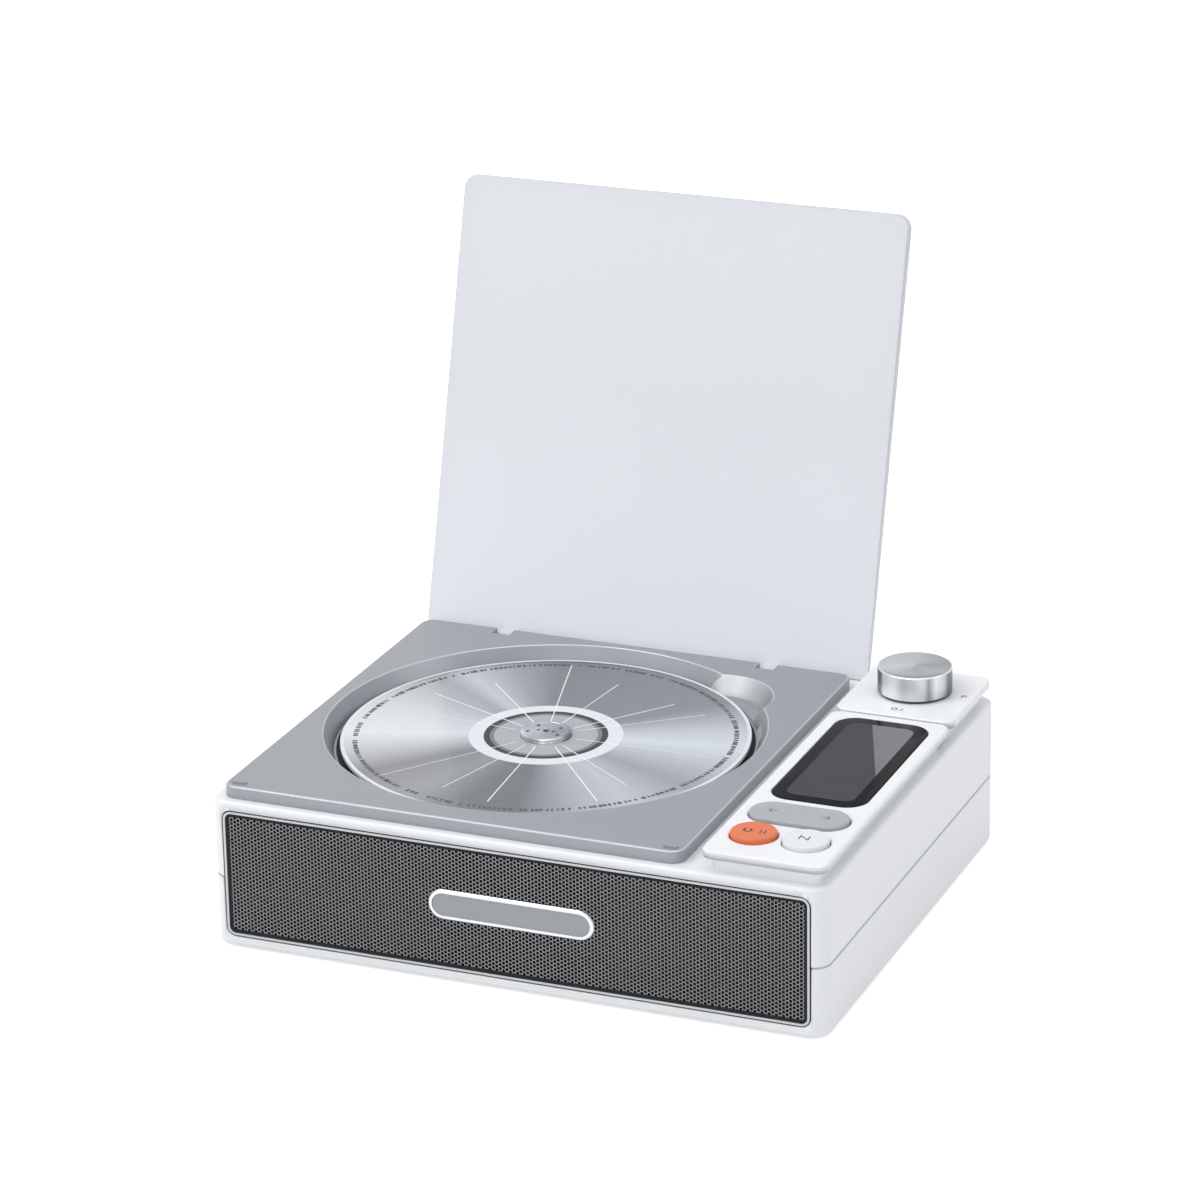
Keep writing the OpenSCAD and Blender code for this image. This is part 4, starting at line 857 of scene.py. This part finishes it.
def makeKnob(sizes):
    low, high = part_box("volume_knob")
    radius = (high.x - low.x) / 2 / mm
    base, top = low.z / mm, high.z / mm
    edge, neck, foot = sizes["edge"], radius - sizes["neck"], base + sizes["foot"]
    lip, dish, face = sizes["lip"], sizes["dish"], top - sizes["face"]
    profile = [(radius - sizes["under"], base + sizes["lift"]), (neck, base + sizes["lift"]),
               (neck, foot), (radius, foot + sizes["rise"]), (radius, top - edge)]
    for i in range(1, sizes["rounds"] + 1):
        angle = math.radians(90 * i / sizes["rounds"])
        profile.append((radius - edge * (1 - math.cos(angle)), top - edge * (1 - math.sin(angle))))
    profile += [(radius - edge - lip[0], top - lip[1]), (radius - edge - dish[0], top - dish[1]),
                (radius * sizes["ring"], face), (sizes["centre"], face)]
    # slots: the underside and neck take the dark plastic, painted shade at the knob's foot; the side and
    # top take painted reflection, the rounded edge a painted highlight
    slots = [3] * 2 + [0] * 2 + [2] * sizes["rounds"] + [1] * 4
    bm = bmesh.new()
    stackLoops(bm, turnedLoops(profile, knobAt, sizes["steps"]), slots=slots)
    knob = makePiece("turnedKnob", bm, [knobSidePaintedReflection, knobTopPaintedReflection, knobEdgePaintedHighlight, darkAbsAndPaintedShade])
    place(knob, "volume", "silver_metal", "volume_knob")


makeKnob(knobSizes)


# window over the display

windowSizes = {
    "edge": 0.25 * mm, "radius": 6.5 * mm, "steps": 12,
    "screen": {"inset": 4.0 * mm, "radius": 3 * mm, "steps": 8},
    "paintedSheen": {"width": 13.5 * mm, "length": 36 * mm, "corner": 3 * mm, "cut": 0.9 * mm,
              "lift": 0.035 * mm},
}


def makeWindow(sizes):
    low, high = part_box("display_window")
    c = (low + high) / 2
    size = (high.x - low.x, high.y - low.y)
    bm = bmesh.new()
    profile = roundedProfile(low.z, high.z, sizes["edge"])
    stackLoops(bm, insetLoops(size, sizes["radius"], c, profile, sizes["steps"]))
    place(makePiece("windowPane", bm, [glassDark]), "case", "dark_glass", "display_window")
    screen = sizes["screen"]
    inset = screen["inset"]
    bm = bmesh.new()
    addFace(bm, roundedLoop(size[0] - 2 * inset, size[1] - 2 * inset, screen["radius"], c,
                            high.z + flush, screen["steps"]))
    place(makePiece("screenArea", bm, [glassScreen]), "case", "dark_glass")
    right, back = c.x + size[0] / 2 - inset, c.y + size[1] / 2 - inset
    # a lighter patch over the screen's back right corner: painted reflection
    paintedSheen = sizes["paintedSheen"]
    corner, cut = paintedSheen["corner"], paintedSheen["cut"]
    shape = [(right - paintedSheen["width"], back), (right - corner, back), (right - cut, back - cut),
             (right, back - corner), (right, back - paintedSheen["length"])]
    bm = bmesh.new()
    addFace(bm, [(x, y, high.z + paintedSheen["lift"]) for x, y in reversed(shape)])
    place(makePiece("screenCorner", bm, [glassPaintedSheen]), "case", "dark_glass")


makeWindow(windowSizes)
strokeMark("knobPlateMark", "knob_plate", knobMarkAt, squareHook,
           strokes["plates"], "case", "case_white")
strokeMark("sideMark", "knob_plate", sideMarkAt, cornerDash,
           strokes["plates"], "case", "case_white")
print("stage: controls made")


# print on the disc, the hub and the disc

# lengths in millimetres, turns in radians
printSizes = {
    "rays": {"count": 14, "radius": 9.5, "span": (0.0, 46.5), "half": 0.14, "keep": 0.9,
             "jitter": 0.22, "long": (0.72, 1.0), "wide": (0.8, 1.3), "seed": 4},
    "dashes": {"count": 232, "radius": 55.6, "span": (-0.8, 0.8), "half": 0.52, "keep": 0.9,
               "jitter": 0.005, "long": (0.7, 1.05), "wide": (0.5, 1.3), "seed": 7},
}


def ringPattern(material):
    # copies of one mark round a circle, each a little different, some left out
    tree, given = newPattern("printedRing", (
        ("Count", "Int"), ("Radius", "Float"), ("Keep", "Float"), ("Jitter", "Float"),
        ("Long Min", "Float"), ("Long Max", "Float"), ("Wide Min", "Float"),
        ("Wide Max", "Float"), ("Seed", "Int")))

    def chance(low, high, shift):
        node = addNode(tree, "FunctionNodeRandomValue", {"data_type": "FLOAT"})
        feed(tree, node.inputs[2], low)
        feed(tree, node.inputs[3], high)
        feed(tree, node.inputs["Seed"], calculate(tree, "ADD", given["Seed"], shift))
        return node.outputs[1]

    index = addNode(tree, "GeometryNodeInputIndex").outputs[0]
    step = calculate(tree, "DIVIDE", 2 * math.pi, given["Count"])
    jitter = calculate(tree, "MULTIPLY", chance(-1.0, 1.0, 1), given["Jitter"])
    turn = calculate(tree, "ADD", calculate(tree, "MULTIPLY", index, step), jitter)
    spot = addNode(tree, "ShaderNodeCombineXYZ", links={
        axis: calculate(tree, "MULTIPLY", calculate(tree, operation, turn), given["Radius"])
        for axis, operation in (("X", "COSINE"), ("Y", "SINE"))})
    points = addNode(tree, "GeometryNodePoints",
                     links={"Count": given["Count"], "Position": spot.outputs[0]})
    keep = calculate(tree, "LESS_THAN", chance(0.0, 1.0, 2), given["Keep"])
    spin = addNode(tree, "ShaderNodeCombineXYZ", links={"Z": turn})
    size = addNode(tree, "ShaderNodeCombineXYZ", {"in:Z": 1.0}, {
        "X": chance(given["Long Min"], given["Long Max"], 3),
        "Y": chance(given["Wide Min"], given["Wide Max"], 4)})
    copies = cellCopies(tree, given, {
        "Points": points.outputs[0], "Selection": keep,
        "Rotation": spin.outputs[0], "Scale": size.outputs[0]})
    dressed = addNode(tree, "GeometryNodeSetMaterial", {"in:Material": material}, {"Geometry": copies})
    addNode(tree, "NodeGroupOutput", links={0: dressed.outputs[0]})
    return tree


def makeDiscPrint(name, material, sizes):
    start, stop = (v * mm for v in sizes["span"])
    half = sizes["half"] * mm
    bm = bmesh.new()
    addFace(bm, ((start, -half, 0), (stop, -half, 0), (stop, half, 0), (start, half, 0)))
    mark = makePiece("printMark", bm, [])
    piece = makePiece(name, bmesh.new(), [])
    runPattern(piece, ringPattern(material), {
        "Cell": mark, "Count": sizes["count"], "Radius": sizes["radius"] * mm,
        "Keep": sizes["keep"], "Jitter": sizes["jitter"], "Seed": sizes["seed"],
        "Long Min": sizes["long"][0], "Long Max": sizes["long"][1],
        "Wide Min": sizes["wide"][0], "Wide Max": sizes["wide"][1]})
    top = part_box("disc")[1].z + flush
    piece.data.transform(Matrix.Translation((discAt.x, discAt.y, top)))
    place(piece, "disc", "disc_metal")
    bpy.data.objects.remove(mark)


makeDiscPrint("discRays", rayInk, printSizes["rays"])
makeDiscPrint("discDashes", dashInk, printSizes["dashes"])

# in millimetres; holes are x, y and radius from the hub's axis
hubSizes = {"bore": 2.0, "radius": 7.4, "edge": 0.35, "round": 0.3, "ledge": 0.5, "step": 0.12,
            "centre": 0.3, "steps": 128, "holeLift": 0.015, "holeSteps": 24,
            "holes": ((0, 0, 0.95), (2.3, 0.2, 0.5), (-2.2, -0.3, 0.5), (3.4, 3.3, 0.55),
                      (-3.6, 3.1, 0.6), (4.4, -1.9, 0.6), (-4.9, -2.0, 0.55))}


def makeHub(sizes):
    low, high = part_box("spindle_hub")
    base, top = low.z / mm, high.z / mm
    turntable = (high.x - low.x) / 2 / mm
    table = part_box("disc")[0].z / mm
    radius, edge, step = sizes["radius"], sizes["edge"], sizes["step"]
    cut = edge * sizes["round"]
    ledge = radius - edge - sizes["ledge"]
    profile = [(sizes["bore"], base), (turntable, base), (turntable, table), (radius, table),
               (radius, top - edge), (radius - cut, top - cut), (radius - edge, top), (ledge, top),
               (ledge - step, top - step), (sizes["centre"], top - step)]
    bm = bmesh.new()
    stackLoops(bm, turnedLoops(profile, hubAt, sizes["steps"]), slots=[0, 0, 0, 1, 1, 1, 1, 0, 0])
    place(makePiece("turnedHubCap", bm, [hubPaintedReflection, hubEdgePaintedHighlight]), "spindle", "hub_plastic", "spindle_hub")
    # dark discs on the top where the holes are: painted shade in place of open holes
    bm = bmesh.new()
    for x, y, r in sizes["holes"]:
        addFace(bm, circleLoop(r * mm, (hubAt.x + x * mm, hubAt.y + y * mm),
                               (top - step + sizes["holeLift"]) * mm, sizes["holeSteps"]))
    place(makePiece("hubHoles", bm, [darkAbsAndPaintedShade]), "spindle", "hub_plastic")


makeHub(hubSizes)

# in millimetres
discSizes = {"radius": 60.0, "hole": 7.55, "edge": 0.15, "rings": (58.9, 22.6, 18.2, 16.4, 15.2),
             "steps": 192}


def makeDisc(sizes):
    low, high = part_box("disc")
    base, top = low.z / mm, high.z / mm
    hole, rim, edge = sizes["hole"], sizes["radius"], sizes["edge"]
    profile = [(hole, base), (rim - edge, base), (rim, base + edge), (rim, top - edge), (rim - edge, top)]
    profile += [(r, top) for r in sizes["rings"]] + [(hole, top)]
    bm = bmesh.new()
    stackLoops(bm, turnedLoops(profile, discAt, sizes["steps"]), ring=True,
               slots=[1, 1, 1, 1, 1, 0, 1, 3, 4, 2, 2])
    place(makePiece("discBody", bm, [discPaintedReflection, discBright, discClear, discDark, discMid]),
          "disc", "disc_metal", "disc")


makeDisc(discSizes)
print("stage: disc made")


# floor, light and camera

def seenRays(tree):
    # 1 on rays that show the background: from the camera, through glass or off a gloss
    path = addNode(tree, "ShaderNodeLightPath").outputs
    clear = calculate(tree, "MAXIMUM", path["Is Camera Ray"], path["Is Transmission Ray"])
    return calculate(tree, "MAXIMUM", clear, path["Is Glossy Ray"])


floorSizes = {"reach": 3.0, "grey": (0.8, 0.8, 0.8, 1), "glow": 0.55}


def makeFloor(sizes):
    material, tree = newMaterial("paleFloor")
    diffuse = addNode(tree, "ShaderNodeBsdfDiffuse", {"in:Color": sizes["grey"]})
    glow = addNode(tree, "ShaderNodeEmission", {"in:Color": (1, 1, 1, 1), "in:Strength": sizes["glow"]})
    both = addNode(tree, "ShaderNodeAddShader", links={0: diffuse.outputs[0], 1: glow.outputs[0]})
    mix = addNode(tree, "ShaderNodeMixShader",
                  links={0: seenRays(tree), 1: diffuse.outputs[0], 2: both.outputs[0]})
    finishMaterial(material, tree, mix.outputs[0])
    bm = bmesh.new()
    reach, z = sizes["reach"], cadBox[0].z
    addFace(bm, ((-reach, -reach, z), (reach, -reach, z), (reach, reach, z), (-reach, reach, z)))
    makePiece("floor", bm, [material])


worldSizes = {"left": 0.8, "right": 0.52, "tint": (0.985, 0.99, 1, 1)}


def makeWorld(sizes):
    world = bpy.data.worlds.new("studio")
    bpy.context.scene.world = world
    world.use_nodes = True
    tree = world.node_tree
    tree.nodes.clear()
    where = addNode(tree, "ShaderNodeTexCoord")
    split = addNode(tree, "ShaderNodeSeparateXYZ", links={0: where.outputs["Generated"]})
    side = addNode(tree, "ShaderNodeMapRange",
                   {"in:From Min": -1.0, "in:From Max": 1.0,
                    "in:To Min": sizes["left"], "in:To Max": sizes["right"]},
                   {"Value": split.outputs["X"]})
    light = addNode(tree, "ShaderNodeBackground", {"in:Color": sizes["tint"]},
                    {"Strength": side.outputs["Result"]})
    white = addNode(tree, "ShaderNodeBackground", {"in:Color": (1, 1, 1, 1), "in:Strength": 1.0})
    mix = addNode(tree, "ShaderNodeMixShader",
                  links={0: seenRays(tree), 1: light.outputs[0], 2: white.outputs[0]})
    addNode(tree, "ShaderNodeOutputWorld", links={"Surface": mix.outputs[0]})


lampAim = Vector((0, 0, 0.05))
lampSizes = {
    "keyLamp": {"at": (-0.9, -0.7, 1.5), "size": 1.1, "power": 10.0},
    "frontLamp": {"at": (0.2, -1.8, 0.7), "size": 1.2, "power": 4.5},
    "rightLamp": {"at": (1.6, 0.1, 0.8), "size": 0.9, "power": 2.8},
    "topLamp": {"at": (0.1, 0.1, 2.0), "size": 1.4, "power": 7.0},
}


def makeLamp(name, sizes):
    lamp = bpy.data.lights.new(name, "AREA")
    lamp.shape = "DISK"
    lamp.size = sizes["size"]
    lamp.energy = sizes["power"]
    holder = bpy.data.objects.new(name, lamp)
    bpy.context.scene.collection.objects.link(holder)
    holder.location = sizes["at"]
    holder.rotation_euler = (lampAim - Vector(sizes["at"])).to_track_quat("-Z", "Y").to_euler()


# degrees, metres, and the lens in millimetres on its sensor, as fitted to the photograph
cameraSizes = {"turn": 22.616, "rise": 20.612, "roll": -0.99, "distance": 1.43096,
               "target": (-0.03275, 0.0722, 0.06082), "lens": 141.063, "sensor": 36.0,
               "clip": (0.05, 20)}


def makeCamera(sizes):
    turn, rise, roll = (math.radians(sizes[k]) for k in ("turn", "rise", "roll"))
    back = Vector((math.sin(turn) * math.cos(rise), -math.cos(turn) * math.cos(rise), math.sin(rise)))
    right = (-back).cross(Vector((0, 0, 1))).normalized()
    up = back.cross(right)
    side = math.cos(roll) * right + math.sin(roll) * up
    top = -math.sin(roll) * right + math.cos(roll) * up
    data = bpy.data.cameras.new("photoCamera")
    data.lens, data.sensor_width = sizes["lens"], sizes["sensor"]
    data.clip_start, data.clip_end = sizes["clip"]
    camera = bpy.data.objects.new("photoCamera", data)
    bpy.context.scene.collection.objects.link(camera)
    turned = Matrix((side, top, back)).transposed().to_4x4()
    spot = Vector(sizes["target"]) + back * sizes["distance"]
    camera.matrix_world = Matrix.Translation(spot) @ turned
    bpy.context.scene.camera = camera


makeFloor(floorSizes)
makeWorld(worldSizes)
for lampName, lampSize in lampSizes.items():
    makeLamp(lampName, lampSize)
makeCamera(cameraSizes)
bpy.context.scene.view_settings.view_transform = "Standard"
print("stage: floor, light and camera made")
